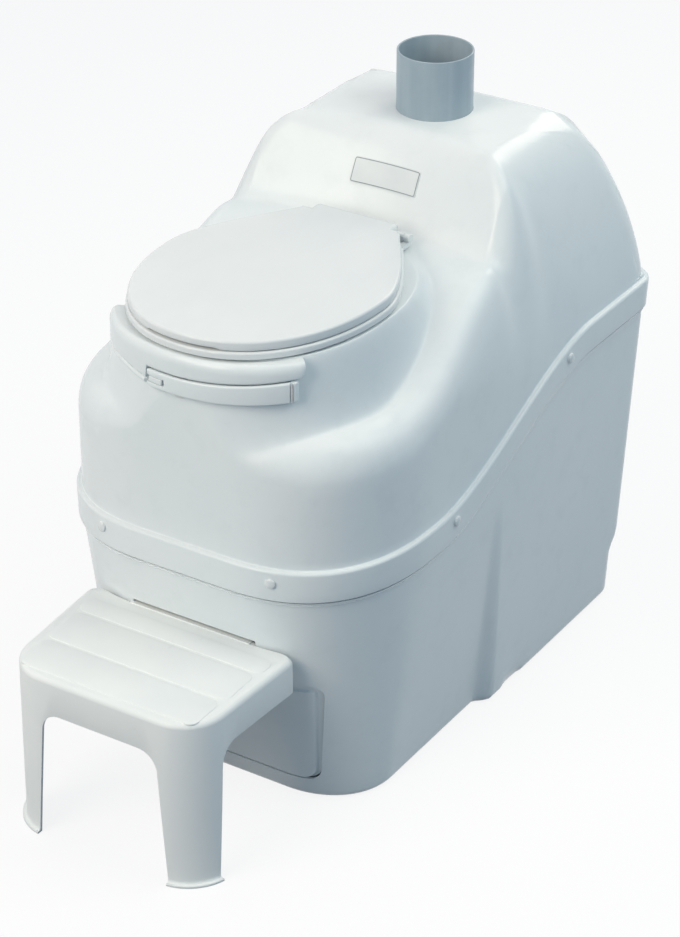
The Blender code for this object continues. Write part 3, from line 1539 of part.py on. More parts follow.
def make_step():
    """The moulded step: skirt, arches, splayed front legs with foot lips, rear tongue."""
    top = step_height
    levels = [(step_splay + foot_lip, 0.0), (step_splay + foot_lip, foot_lip_height),
              (step_splay + foot_lip * 0.3, foot_lip_height * 2.0), (step_splay, foot_lip_height * 4.0),
              (0.0, top - step_edge), (-step_edge * 0.3, top - step_edge * 0.3), (-step_edge, top)]
    rings = [[(x, y, z) for x, y in step_outline(grow)] for grow, z in levels]
    step = loft("step", rings, step_plastic())
    inside = [[(x, y, z) for x, y in step_outline(grow)]
              for grow, z in ((step_splay - step_wall, -cut_overrun), (-step_wall, top - step_edge),
                              (-step_wall * 2.0, top - step_wall))]
    cut(step, loft("inside", inside, step_plastic()))
    front_arch = arch(step_leg_front_foot, step_leg_front_top, step_front_arch, step_arch_round)
    cut(step, prism("front_arch", front_arch, step_front_y - cut_overrun * 2.0,
                    step_front_y + step_corner + cut_overrun, "Y", step_plastic()))
    side_arch = [(step_front_y + step_leg_side_foot, -cut_overrun)]
    for number in range(6):
        spoke = math.radians(90.0 * number / 5.0)
        side_arch.append((step_front_y + step_leg_side_top + step_arch_round * (1.0 - math.cos(spoke)),
                          step_side_arch - step_arch_round * (1.0 - math.sin(spoke))))
    behind = step_rear_y + cut_overrun * 2.0
    side_arch += [(behind, step_side_arch), (behind, -cut_overrun)]
    cut(step, prism("side_arch", side_arch, -step_half_width - cut_overrun * 2.0,
                    step_half_width + cut_overrun * 2.0, "X", step_plastic()))
    open_back = box("open_back", (-step_half_width + step_wall * 2.0, step_rear_y - step_wall * 2.0, 0.0),
                    (step_half_width - step_wall * 2.0, step_rear_y + cut_overrun, top - step_wall * 2.0),
                    step_plastic())
    cut(step, open_back)
    tongue_low = slot_bottom + fit_gap
    tongue = box("tongue", (-slot_half_width + tongue_inset, step_rear_y - tongue_web * 0.5, tongue_low),
                 (slot_half_width - tongue_inset, step_rear_y + tongue_reach, tongue_low + tongue_thickness),
                 step_plastic())
    web = box("web", (-slot_half_width + tongue_inset, step_rear_y - tongue_web, top - step_wall / 2.0),
              (slot_half_width - tongue_inset, step_rear_y, tongue_low + tongue_thickness), step_plastic())
    joined(web, tongue)
    joined(step, web)
    step.data.transform(Matrix.Translation((step_shift, 0.0, 0.0)))
    return step


def drain_cutter():
    radius = drain_radius + fit_gap
    return turned("drain_hole", [(radius, rear_wall_y(drain_height) - cut_overrun),
                                 (radius, rear_wall_y(drain_height) + cut_overrun)], "Y", gelcoat(),
                  (drain_x, 0.0, drain_height), small_segments)


def make_drain():
    """The overflow drain, low on the back wall."""
    face = rear_wall_y(drain_height + drain_flange_radius) + fit_gap
    inner = face - shell_wall * 2.0
    turned_ring("drain_spout", [(drain_bore, inner), (drain_radius, inner), (drain_radius, face),
                                (drain_flange_radius, face), (drain_flange_radius, face + drain_flange),
                                (drain_radius, face + drain_flange), (drain_radius, face + drain_length),
                                (drain_bore, face + drain_length)], "Y", pipe_plastic(),
                (drain_x, 0.0, drain_height), small_segments)


def main():
    clear_scene()
    make_lower_shell()
    make_upper_shell()
    make_flange_screws()
    make_vent()
    make_bowl_liner()
    make_seat_ring()
    make_seat_lid()
    make_seat_fittings()
    make_front_lip()
    make_crank()
    make_drum_lock()
    make_drum()
    make_drum_gear()
    make_drive()
    make_bearings()
    make_drawer()
    make_step()
    make_drain()


main()
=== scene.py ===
"""Looks of the composting toilet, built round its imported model."""
import json
import math

import bmesh
import bpy
from mathutils import Matrix, Vector


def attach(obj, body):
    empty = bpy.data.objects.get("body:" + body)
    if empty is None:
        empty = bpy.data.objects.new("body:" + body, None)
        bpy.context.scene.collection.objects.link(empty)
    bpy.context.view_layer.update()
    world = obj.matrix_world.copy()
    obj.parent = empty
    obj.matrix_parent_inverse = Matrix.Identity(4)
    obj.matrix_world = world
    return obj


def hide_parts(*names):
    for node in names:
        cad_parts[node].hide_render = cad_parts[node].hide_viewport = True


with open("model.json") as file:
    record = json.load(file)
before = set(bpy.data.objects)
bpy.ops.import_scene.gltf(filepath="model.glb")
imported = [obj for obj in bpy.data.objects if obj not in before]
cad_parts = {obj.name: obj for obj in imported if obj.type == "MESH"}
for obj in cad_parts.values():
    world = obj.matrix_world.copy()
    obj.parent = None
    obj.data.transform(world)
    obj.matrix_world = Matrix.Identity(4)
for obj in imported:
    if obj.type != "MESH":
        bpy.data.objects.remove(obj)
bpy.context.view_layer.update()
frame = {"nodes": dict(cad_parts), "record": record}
nodes = frame["nodes"]

# Tub, in metres
front_seam_height = 0.352
rear_seam_height = 0.482
seam_rise_start = -0.160
seam_rise_end = 0.250
seam_half_width = 0.258
base_half_width = 0.247
front_seam_y = -0.3885
front_tuck = 0.0685
side_tuck = 0.019
rear_base_y = 0.417
rear_seam_y = 0.445
rear_ledge = 0.018
ledge_low = 0.072
ledge_high = 0.104
seam_corner_x = 0.196
seam_corner_y = 0.226
seam_squareness = 2.5
base_squareness = 2.1
base_corner_x = 0.112
base_corner_y = 0.096
rear_corner = 0.035
crease_start = 0.000
crease_length = 0.024
base_edge = 0.012
notch_start = 0.056
notch_length = 0.056
notch_lift = 0.020
shell_wall = 0.005
fit_gap = 0.0003
lower_shell_tuck = 0.036
tub_low_share = 0.10
tub_start_share = 0.74
tub_rows = 22
tub_seam_rows = 12
drawer_cut_share = 0.7
notch_fade = 8.0

# Flange where the shells meet
flange_height = 0.046
flange_round = 0.0048
flange_foot_round = 0.0018
flange_fillet = 0.0020
flange_shares = (0.35, 0.65)
seam_groove = 0.0024
seam_bead = 0.0030
seam_bead_height = 0.0080
seam_groove_depth = 0.0030
groove_shares = (0.9, 0.8, 0.7)

# Deck, pedestal and hump
deck_height = 0.684
shoulder_height = 0.578
ramp_start = -0.230
ramp_end = 0.060
seat_centre_y = -0.168
pedestal_half_width = 0.184
pedestal_half_length = 0.214
pedestal_squareness = 2.25
rim_round = 0.008
swell_bearing = 58.0
swell_spread = 34.0
swell_reach = 0.010
swell_ease = 0.020
foot_spread = 0.024
foot_power = 1.6
hump_height = 0.799
backrest_mid_height = 0.740
backrest_mid_y = 0.119
backrest_wing_x = 0.165
backrest_wing_reach = 0.021
backrest_wing_limit = 1.4
backrest_lean = 0.50
backrest_search_front = 0.15
backrest_search_rear = 0.12
crease_round = 0.030
crest_round = 0.070
wing_crest_round = 0.030
shoulder_round = 0.050
shoulder_drop = 0.060
shoulder_span = 44.0
front_rim_round = 0.012
hump_round = 0.118
hump_round_power = 0.76
front_round_power = 0.5
edge_blend = 2.0
edge_blend_growth = 5.0
drop_change_start = -0.150
drop_change_end = 0.150
width_change_start = 0.020
width_change_end = 0.170
rear_round = 0.125
opening_half_width = 0.115
opening_half_length = 0.150
opening_lip = 0.012
opening_round = 0.004
opening_bend = 0.0012

# Vent pipe
vent_y = 0.250
vent_radius = 0.055
vent_wall = 0.003
vent_top = 0.887
vent_bottom = 0.752
vent_lip_share = 0.42

# Seat and lid
seat_half_width = 0.173
seat_front_length = 0.221
seat_squareness = 2.15
seat_waist_y = -0.165
seat_side_pull = 0.055
seat_rear_x = 0.079
seat_rear_y = 0.0275
seat_rear_pull_x = 0.050
seat_rear_pull_y = 0.075
seat_front_steps = 40
seat_rear_steps = 30
ring_grow = 0.003
ring_rear_y = 0.012
ring_hole_half_width = 0.108
ring_hole_half_length = 0.142
ring_thickness = 0.010
ring_edge = 0.0034
ring_fall = 1.5
ring_foot_edge = 0.0010
ring_arm_corner = 0.0015
bumper_height = 0.003
lid_skirt = 0.0135
lid_crown = 0.005
lid_wall = 0.003
lid_gap = 0.0015
lid_edge = 0.0042
lid_foot_edge = 0.0009
lid_inner_edge = 0.0006
lid_dome_rings = 26
lid_under_start = 0.08
lid_under_rings = 12
lid_under_share = 0.6
lid_rest_share = 0.4
lid_rest_lift = 0.6
lid_round_start = 10.0
lid_bend = (1.6, 1.15, 1.4)
lid_tab_half_width = 0.066
lid_tab_rear_y = 0.047
lid_tab_corner = 0.004
lid_foot_share = 0.3
thumb_half_width = 0.052
thumb_rise = 0.0024
thumb_fade = 0.006
hinge_y = 0.040
hinge_height = 0.0135

# Bands at the front of the pedestal
lip_reach = 0.0145
lip_bottom = 0.6522
lip_rise = 0.0098
lip_nose = 0.0140
lip_nose_share = 0.6
lip_back_shares = (0.97, 0.90, 0.78, 0.64, 0.50, 0.36, 0.22, 0.08, 0.0)
lip_steps = 30
lip_even_share = 0.94
lip_change_steps = 8
lip_span = 49.3
lip_left_span = -12.0
lip_left_change = 0.7
lip_left_end = -46.0
lip_left_low = 0.6340
lip_left_arch = 0.0072
lip_left_blend = 14.0
lip_left_crease = 0.0006
roll_left_height = 0.0100
roll_right_height = 0.0085
roll_reach = 0.0145
roll_sink = 0.0010
roll_power = 0.45
roll_growth = 6.0
roll_fade = 30.0
roll_end_swell = 0.2
roll_steps = 40
roll_points = 20
crank_reach = 0.0160
crank_bar_depth = 0.0065
crank_edge_share = 0.42
crank_steps = 60
crank_slot_steps = 12
crank_pin_radius = 0.0011
crank_pin_edge_share = 0.3
crank_lug_taper = 0.6
crank_low_start = 0.6250
crank_low_rise = 0.0050
crank_lip_gap = 0.0013
crank_span_start = -11.7
crank_span_end = 44.2
crank_knuckle_span = 44.9
crank_knuckle_radius = 0.0052
crank_pivot_span = 43.5
crank_pivot_reach = 0.0160
crank_bore = 0.0022
crank_lug_reach = 0.0122
crank_pin_inset = 0.0025
crank_bracket_half = 0.0060
crank_slot_low = 0.6325
crank_slot_high = 0.6426
crank_slot_end = -3.8
crank_slot_corner = 0.0020
crank_slot_overrun = 2.0
crank_end_insets = (0.0016, 0.0005)
crank_soft_edge = 0.0006
bracket_soft_edge = 0.0005
lock_span = -7.9
lock_knob_width = 0.0225
lock_knob_height = 0.0080
lock_knob_length = 0.0062
lock_drop = 0.0004
lock_knob_start = 0.0095
lock_edge_share = 0.28
lock_foot_share = 0.4

# Finishing drawer's front
drawer_top_half_width = 0.187
drawer_bottom_half_width = 0.169
drawer_bottom = 0.031
drawer_top = 0.2035
drawer_corner = 0.020
drawer_inset = 0.0056
drawer_gap = 0.0017
drawer_proud = 0.0042
drawer_panel = 0.009
drawer_rim = 0.0115
drawer_side_rim = 0.0100
drawer_low_side_rim = 0.0045
drawer_edge_width = 0.0012
drawer_ramp_share = 0.9
drawer_ramp_places = (0.1, 0.25, 0.4, 0.55, 0.7, 0.85, 1.0)
drawer_rows = 10
drawer_columns = 26
drawer_edge_fall = 0.0008

# Step
step_height = 0.258
step_half_width = 0.158
step_flare_share = 0.08
step_shift = -0.006
step_front_y = -0.584
step_rear_y = -0.3728
step_wall_gap = 0.0026
step_corner = 0.060
step_rear_corner = 0.020
step_rear_points = 15
step_rear_first = 0.9
step_rear_spacing = 0.06
step_wall = 0.004
step_splay = 0.002
step_rear_lift = 0.0036
step_edge = 0.008
step_front_arch = 0.204
step_side_arch = 0.208
step_leg_front_top = 0.094
step_leg_front_foot = 0.109
step_leg_side_top = 0.054
step_leg_side_foot = 0.043
step_arch_round = 0.030
foot_lip = 0.0058
foot_lip_height = 0.004
foot_cove_share = 0.6
foot_cove_rise = 1.2
hollow_bend = (1.4, 1.2)
step_foot_edge = 0.0006
step_soft_edge = 0.0008
slot_half_width = 0.101
slot_bottom = 0.2612
slot_top = 0.2686
slot_corner_share = 0.3
tongue_thickness = 0.0013
tongue_inset = 0.0025
tongue_reach = 0.024
tongue_web = 0.005
tongue_corner = 0.002
tongue_lap = 0.2
sweep_top_share = 0.9
sweep_length = 0.006
sweep_steps = 8
pad_edges = (-0.5720, -0.5030, -0.4280, -0.3890)
pad_gap = 0.0050
pad_side_margin = 0.0150
pad_corner = 0.0140
pad_rise = 0.0007
pad_edge_share = 0.9

# Flange screws
screw_radius = 0.0075
screw_height = 0.0045
front_screw_x = 0.136
side_screw_y = -0.120
rear_side_screw_y = 0.180
back_screw_x = 0.150
screw_rise_share = 0.60
screw_edge_share = 0.42
screw_sink_share = 0.4
screw_dome_start = 70.0
screw_dome_shares = (0.85, 0.68, 0.5, 0.3, 0.1)

# Steps, shading angles and other general values
cut_overrun = 0.020
front_steps = 6
corner_steps = 44
corner_crowding = 1.15
side_steps = 84
rear_corner_steps = 12
profile_samples = 240
profile_crowding = 1.5
roll_rows = 64
wall_rows = 10
row_spacing = 0.040
vent_segments = 128
vent_hole_segments = 96
post_segments = 40
small_segments = 32
stem_segments = 28
halving_rounds = 40
least_share = 0.01
fillet_start = 15.0
plain_crease = 35.0
tub_crease = 32.0
moulding_crease = 40.0
lid_crease = 45.0
band_crease = 48.0
plate_crease = 50.0

# Lugs of the hinges, the lip's ends, the lock's stem, and the drain's and bush's holes
hinge_lug_radius = 0.0062
lid_lug_start = 0.057
lid_lug_end = 0.066
ring_lug_start = 0.0802
ring_lug_end = 0.0892
lip_edge = 0.0040
lip_end_span = 2.6
lip_end_lift = 0.0110
lip_end_pull = 0.0035
lock_stem_radius = 0.0035
lock_stem_length = 0.026
drive_bush_radius = 0.016
drive_height = 0.634
drain_height = 0.036
drain_x = 0.150
drain_radius = 0.009

# Badge plate
badge_height = 0.740
badge_half_width = 0.054
badge_half_height = 0.0185
badge_slope = 0.894
badge_corner = 0.004
badge_thickness = 0.0012
badge_edge = 0.0012
badge_border_width = 0.0013
badge_border_rise = 0.0003
badge_rows = 28
badge_columns = 72
badge_span = 0.002

# Floor, surround and lamps; a lamp has a name, place, width, watts and colour
shadow_share = 0.14
floor_half = 3.0
floor_roughness = 0.9
floor_sheen = 0.1
floor_colour = (0.30, 0.31, 0.33, 1.0)
chalk_colour = (0.95, 0.95, 0.95, 1.0)
sky_colour = (0.38, 0.69, 1.0, 1.0)
sky_strength = 0.345
warm, cool, amber = (1.0, 0.90, 0.76), (0.84, 0.94, 0.90), (1.0, 0.66, 0.44)
lamp_aim = (0.0, -0.05, 0.4)
lamps = (("top", (-0.3, -0.3, 3.2), 2.6, 9.0, amber), ("front", (-0.7, -3.2, 1.9), 2.0, 21.0, warm),
         ("high", (-0.8, -2.8, 2.6), 2.0, 55.0, warm), ("left", (-3.0, -0.6, 1.8), 1.6, 7.0, warm),
         ("right", (2.4, 0.9, 2.8), 2.0, 24.0, cool),
         ("right_high", (1.5, 0.3, 3.4), 2.0, 23.0, warm),
         ("back", (0.2, 2.8, 2.6), 1.6, 31.0, warm))

# Camera; the turns are azimuth, pitch and roll in radians
camera_turns = (0.566972, 0.518080, 0.00034)
camera_place = (2.01558, -3.16608, 2.46568)
focal_pixels = 3000.0
image_height = 937.0
camera_sensor = 36.0
camera_clip_end = 50.0

# Finishes. A noise has a scale and a detail, and may have a stretch and a roughness; cells have
# only a scale. A row has its name, roughness, metal, the noise of its two tones, both colours as
# display values, the film's noise with its strength and limits, the film's colour, the noise and
# limits of its gloss, and its bumps, each with a depth and a strength.
plain_sheen = 0.28
brushing = (90.0, 5.0, (0.05, 1.0, 1.0), 0.7)
finish_rows = (
    # Sprayed white gel coat over fibreglass: glossy, with faint print-through and orange peel
    ("gelcoat", 0.22, 0.0, (3.2, 4.0), (236, 240, 240), (231, 237, 238),
     ((26.0, 5.0, None, 0.65), 0.35, 0.52, 0.80), (220, 226, 226), ((9.0, 4.0), 0.17, 0.27),
     ((7.0, 2.0), 0.0012, 0.30), ((300.0, 2.0), 0.00006, 0.30)),
    # Injection-moulded seat plastic: very white, even and glossy, with faint flow marks
    ("seat_plastic", 0.20, 0.0, (5.0, 3.0), (231, 234, 234), (227, 231, 231),
     ((14.0, 4.0, (1.0, 0.25, 1.0)), 0.4, 0.50, 0.75), (222, 226, 227), ((18.0, 4.0), 0.15, 0.24),
     ((9.0, 2.0), 0.0006, 0.25), ((420.0, 2.0), 0.00004, 0.30)),
    # Moulded step plastic with a fine matt grain, a little scuffed where feet rub
    ("step_plastic", 0.55, 0.0, (6.0, 4.0), (243, 245, 243), (238, 241, 240),
     ((60.0, 6.0, (1.0, 0.3, 1.0), 0.7), 0.4, 0.64, 0.82), (206, 210, 209),
     ((30.0, 4.0), 0.46, 0.62), ((900.0, 3.0), 0.00010, 0.55), ((700.0,), 0.00006, 0.35)),
    # Extruded blue-grey pipe with faint lines along its length and a dusty bloom
    ("pipe_plastic", 0.38, 0.0, (60.0, 3.0, (1.0, 1.0, 0.02)), (165, 180, 189), (157, 173, 183),
     ((20.0, 5.0, None, 0.65), 0.5, 0.50, 0.75), (174, 187, 194), ((14.0, 4.0), 0.30, 0.46),
     ((160.0, 2.0, (1.0, 1.0, 0.015)), 0.00012, 0.35), ((8.0, 2.0), 0.0006, 0.2)),
    # Off-white moulded drum and tray plastic, satin, with the light soiling of use
    ("drum_plastic", 0.50, 0.0, (4.0, 4.0), (217, 219, 216), (208, 211, 208),
     ((11.0, 8.0, None, 0.68), 0.55, 0.55, 0.80), (176, 170, 156), ((22.0, 4.0), 0.40, 0.62),
     ((320.0, 3.0), 0.00012, 0.4), ((8.0, 2.0), 0.0008, 0.25)),
    # Stainless steel with fine brushing and a few darker heat and water marks
    ("steel", 0.30, 1.0, brushing, (196, 198, 199), (176, 179, 181),
     ((24.0, 5.0), 0.5, 0.55, 0.75), (150, 150, 148), (brushing, 0.24, 0.42),
     (brushing, 0.00006, 0.35)),
    # Pale matt rubber with a fine powdery surface
    ("rubber", 0.80, 0.0, (40.0, 4.0), (214, 214, 210), (203, 204, 200), None, None,
     ((60.0, 3.0), 0.72, 0.86), ((500.0, 3.0), 0.00010, 0.5)),
    # The bare plate: the same white plastic, a touch more satin
    ("badge_finish", 0.34, 0.0, (20.0, 3.0), (226, 230, 230), (219, 224, 225), None, None,
     ((50.0, 4.0), 0.28, 0.40), ((600.0, 3.0), 0.00005, 0.4)),
    # The grey line pressed round the plate
    ("border_finish", 0.45, 0.0, (60.0, 3.0), (150, 158, 162), (140, 149, 154), None, None,
     ((80.0, 3.0), 0.40, 0.52), ((500.0, 2.0), 0.00005, 0.4)),
)


# Small helpers


def mixed(first, second, share):
    return first + (second - first) * share


def eased(share):
    share = min(max(share, 0.0), 1.0)
    return share * share * (3.0 - 2.0 * share)


def smooth_max(first, second, blend):
    share = min(max(0.5 + 0.5 * (first - second) / blend, 0.0), 1.0)
    return mixed(second, first, share) + blend * share * (1.0 - share)


def smooth_min(first, second, blend):
    return -smooth_max(-first, -second, blend)


def arc(first, last, steps):
    """Angles in radians from the first to the last, in degrees, both included."""
    return [math.radians(mixed(first, last, share)) for share in shares(steps)]


def quarter(steps, first=0.0, last=90.0):
    """Shares along a rounded corner: one rises from 0 to 1 while the other falls from 1 to 0."""
    return [(1.0 - math.cos(spoke), 1.0 - math.sin(spoke)) for spoke in arc(first, last, steps)]


def shares(steps, first=0):
    """Even shares up to 1, from 0 or from a later step."""
    return [step / steps for step in range(first, steps + 1)]


def between(value, start, end):
    """Eased share of the way from one value to the other."""
    return eased((value - start) / (end - start))


def halved(low, high, is_beyond):
    """The place between two values where the test turns true."""
    for _ in range(halving_rounds):
        middle = (low + high) / 2.0
        low, high = (low, middle) if is_beyond(middle) else (middle, high)
    return (low + high) / 2.0


def dressed(piece, body, slot, *replaced):
    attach(piece, body)
    if replaced:
        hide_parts(*replaced)
    return piece


def shaded(item, sharp_angle):
    """Smooth up to the sharp angle, in degrees."""
    item.data.shade_smooth()
    item.data.set_sharp_from_angle(angle=math.radians(sharp_angle))
    return item


def piece_from(name, points, faces, finish, sharp_angle=plain_crease):
    """An object from points and faces, turned outward and shaded smooth up to the sharp angle."""
    mesh = bpy.data.meshes.new(name)
    mesh.from_pydata([tuple(point) for point in points], [], faces)
    work = bmesh.new()
    work.from_mesh(mesh)
    bmesh.ops.recalc_face_normals(work, faces=work.faces)
    work.to_mesh(mesh)
    work.free()
    mesh.materials.append(finish)
    item = bpy.data.objects.new(name, mesh)
    bpy.context.scene.collection.objects.link(item)
    return shaded(item, sharp_angle)


def ring_faces(rings, count, closed=True):
    """Quads between successive rings of points, each of count points."""
    faces = []
    steps = count if closed else count - 1
    for ring in range(rings - 1):
        low = ring * count
        for step in range(steps):
            after = (step + 1) % count
            faces.append((low + step, low + after, low + count + after, low + count + step))
    return faces


def loft(name, rings, finish, caps=True, sharp_angle=plain_crease):
    """A skin through rings of points, closed at both ends where caps is true."""
    count = len(rings[0])
    points = [point for ring in rings for point in ring]
    faces = ring_faces(len(rings), count)
    if caps:
        last = (len(rings) - 1) * count
        faces += [tuple(range(count)), tuple(range(last, last + count))]
    return piece_from(name, points, faces, finish, sharp_angle)


def hoop(name, rings, finish):
    """A skin through rings of points whose last ring joins the first."""
    return loft(name, rings + [rings[0]], finish, False)


def circle(radius, segments):
    spokes = [2.0 * math.pi * step / segments for step in range(segments)]
    return [(radius * math.cos(spoke), radius * math.sin(spoke)) for spoke in spokes]


def placed(outline, along, axis, origin=(0.0, 0.0, 0.0)):
    """Points of a plane outline, set at the distance along the axis from the origin."""
    east, north, lift = {"X": ((0, 1, 0), (0, 0, 1), (1, 0, 0)),
                         "Y": ((1, 0, 0), (0, 0, 1), (0, 1, 0)),
                         "Z": ((1, 0, 0), (0, 1, 0), (0, 0, 1))}[axis]
    start = Vector(origin) + Vector(lift) * along
    return [start + Vector(east) * u + Vector(north) * v for u, v in outline]


def prism(name, outline, start, end, axis, finish, origin=(0.0, 0.0, 0.0)):
    rings = [placed(outline, start, axis, origin), placed(outline, end, axis, origin)]
    return loft(name, rings, finish)


def rounded_rectangle(low, high, radius, steps=6):
    left, right, bottom, top = low[0] + radius, high[0] - radius, low[1] + radius, high[1] - radius
    centres = [(right, bottom, -90.0), (right, top, 0.0), (left, top, 90.0), (left, bottom, 180.0)]
    return [(u + radius * math.cos(spoke), v + radius * math.sin(spoke))
            for u, v, first in centres for spoke in arc(first, first + 90.0, steps)]


def made_permanent(item):
    graph = bpy.context.evaluated_depsgraph_get()
    graph.update()
    mesh = bpy.data.meshes.new_from_object(item.evaluated_get(graph))
    item.modifiers.clear()
    item.data = mesh
    return item


def solidified(item, thickness):
    """The skin thickened inward."""
    modifier = item.modifiers.new("wall", "SOLIDIFY")
    modifier.thickness = thickness
    modifier.offset = -1.0
    modifier.use_even_offset = True
    modifier.use_quality_normals = True
    return made_permanent(item)


def combined(item, tool, operation):
    """The item with the tool cut away or joined on; the tool is used up."""
    modifier = item.modifiers.new(operation.lower(), "BOOLEAN")
    modifier.operation = operation
    modifier.solver = "EXACT"
    modifier.object = tool
    made_permanent(item)
    bpy.data.objects.remove(tool, do_unlink=True)
    return item


def cut(item, tool):
    return combined(item, tool, "DIFFERENCE")


def joined(item, tool):
    return combined(item, tool, "UNION")


def softened(item, width, angle=moulding_crease):
    """Edges rounded a little, so that they catch the light."""
    modifier = item.modifiers.new("edges", "BEVEL")
    modifier.width = width
    modifier.segments = 2
    modifier.limit_method = "ANGLE"
    modifier.angle_limit = math.radians(angle)
    modifier.use_clamp_overlap = True
    modifier.harden_normals = False
    return shaded(made_permanent(item), angle)


def aligned(item, place, direction):
    """The item, made along +X at the origin, turned to the direction and moved."""
    turn = Vector((1.0, 0.0, 0.0)).rotation_difference(direction).to_matrix().to_4x4()
    item.data.transform(Matrix.Translation(place) @ turn)
    return item


# Form of the body: one list of stations round its outline


def body_stations():
    """Half of the outline from the front middle to the rear middle, then its mirror."""
    half = [("front", share) for share in shares(front_steps)[:-1]]
    half += [("corner", share ** corner_crowding) for share in shares(corner_steps)]
    half += [("side", share) for share in shares(side_steps, 1)[:-1]]
    half += [("rear_corner", share) for share in shares(rear_corner_steps)]
    half += [("rear", share) for share in shares(front_steps, 1)]
    right = [(kind, share, 1.0) for kind, share in half]
    left = [(kind, share, -1.0) for kind, share in reversed(half[1:-1])]
    return right + left


def taper(z):
    """Share of the inward taper of the walls, from the seam down to the floor."""
    return max(1.0 - z / front_seam_height, 0.0)


def rear_half_width(z):
    return base_half_width + (seam_half_width - base_half_width) * z / front_seam_height


def front_wall_y(z):
    return front_seam_y + front_tuck * taper(z)


def rear_wall_y(z):
    slope = (rear_seam_y - rear_base_y) / rear_seam_height
    return rear_base_y + slope * z - rear_ledge * (1.0 - between(z, ledge_low, ledge_high))


def corner_form(z):
    """Width, length and squareness of the front corners at a height."""
    rise = min(z / front_seam_height, 1.0)
    return (mixed(base_corner_x, seam_corner_x, rise), mixed(base_corner_y, seam_corner_y, rise),
            mixed(base_squareness, seam_squareness, rise))


def plan_point(station, z, offset=0.0):
    """Plan point, and outward normal, of a station of the body at height z."""
    kind, share, side = station
    corner_x, corner_y, squareness = corner_form(z)
    wide = rear_half_width(z)
    narrow = wide - side_tuck * taper(z)
    front_y, rear_y = front_wall_y(z), rear_wall_y(z)
    spoke = math.radians(90.0 * share)
    if kind == "front":
        x, y, normal = (narrow - corner_x) * share, front_y, (0.0, -1.0)
    elif kind == "corner":
        across = max(math.sin(spoke), 0.0) ** (2.0 / squareness)
        along = max(math.cos(spoke), 0.0) ** (2.0 / squareness)
        x = narrow - corner_x + corner_x * across
        y = front_y + corner_y - corner_y * along
        normal = (across ** (squareness - 1.0) / corner_x, -along ** (squareness - 1.0) / corner_y)
    elif kind == "side":
        y = mixed(front_y + corner_y, rear_y - rear_corner, share)
        x, normal = mixed(narrow, wide, eased((y - crease_start) / crease_length)), (1.0, 0.0)
    elif kind == "rear_corner":
        normal = (math.cos(spoke), math.sin(spoke))
        x = wide - rear_corner + rear_corner * normal[0]
        y = rear_y - rear_corner + rear_corner * normal[1]
    else:
        x, y, normal = (wide - rear_corner) * (1.0 - share), rear_y, (0.0, 1.0)
    length = math.hypot(*normal)
    normal_x, normal_y = side * normal[0] / length, normal[1] / length
    return side * x + normal_x * offset, y + normal_y * offset, normal_x, normal_y


def seam_at(y):
    """Height of the flange's lower edge, level at the front and high at the back."""
    return mixed(front_seam_height, rear_seam_height, between(y, seam_rise_start, seam_rise_end))


def seam_height(station):
    return seam_at(plan_point(station, front_seam_height)[1])


def notch(station):
    """How far the bottom edge is lifted at the notch behind the middle foot."""
    kind, y = station[0], plan_point(station, base_edge)[1]
    if kind != "side" or not notch_start < y < notch_start + notch_length:
        return 0.0
    return notch_lift * math.sqrt(math.sin(math.pi * (y - notch_start) / notch_length))


def wall_front_at(x, z):
    """Front face of the tub at the given place."""
    corner_x, corner_y, squareness = corner_form(z)
    start = rear_half_width(z) - side_tuck * taper(z) - corner_x
    beyond = min(max(abs(x) - start, 0.0) / corner_x, 1.0)
    return front_wall_y(z) + corner_y * (1.0 - (1.0 - beyond ** squareness) ** (1.0 / squareness))


def ellipse_reach(half_width, half_length, x, y, squareness=2.0):
    """Distance from the seat's centre to an oval, in the direction of the point."""
    across, along = abs(x), abs(y - seat_centre_y)
    share = (across / half_width) ** squareness + (along / half_length) ** squareness
    return math.hypot(across, along) / share ** (1.0 / squareness)


def rim_reach(x, y):
    return ellipse_reach(pedestal_half_width, pedestal_half_length, x, y, pedestal_squareness)


def pedestal_excess(x, y):
    """How far outside the pedestal's rim the point lies, on a line from its centre."""
    reach = math.hypot(x, y - seat_centre_y)
    if reach < rim_round:
        return -pedestal_half_width
    excess = reach - rim_reach(x, y)
    bearing = math.degrees(math.atan2(-x, seat_centre_y - y))
    window = eased(1.0 - abs(bearing - swell_bearing) / swell_spread)
    return excess - swell_reach * window * eased(excess / swell_ease)


def pedestal_rise(excess):
    """Share of the pedestal's height, full on top and easing out round its foot."""
    return (1.0 - eased((excess + rim_round) / (rim_round + foot_spread))) ** foot_power


def pedestal_reach(height):
    """How far outside the rim the pedestal's side lies at the given height."""
    wanted = (height - shoulder_height) / (deck_height - shoulder_height)
    return halved(-rim_round, foot_spread, lambda excess: pedestal_rise(excess) <= wanted)


def top_surface(x, y):
    """Height of the upper shell, without the roll-off along its outline."""
    ground = mixed(shoulder_height, deck_height, between(y, ramp_start, ramp_end))
    base = mixed(ground, deck_height, pedestal_rise(pedestal_excess(x, y)))
    winged = min((x / backrest_wing_x) ** 2, backrest_wing_limit)
    wing_y = backrest_mid_y - backrest_wing_reach * winged
    backrest = backrest_mid_height + (y - wing_y) / backrest_lean
    crest = mixed(crest_round, wing_crest_round, min(winged, 1.0))
    return smooth_min(smooth_max(base, backrest, crease_round), hump_height, crest)


def flange_offsets():
    """Offsets from the tub's face: flange face, and upper wall face."""
    return fit_gap + shell_wall, -(shell_wall / 2.0)


def humpward(y):
    """0 beside the seat, 1 beside the hump."""
    return between(y, width_change_start, width_change_end)


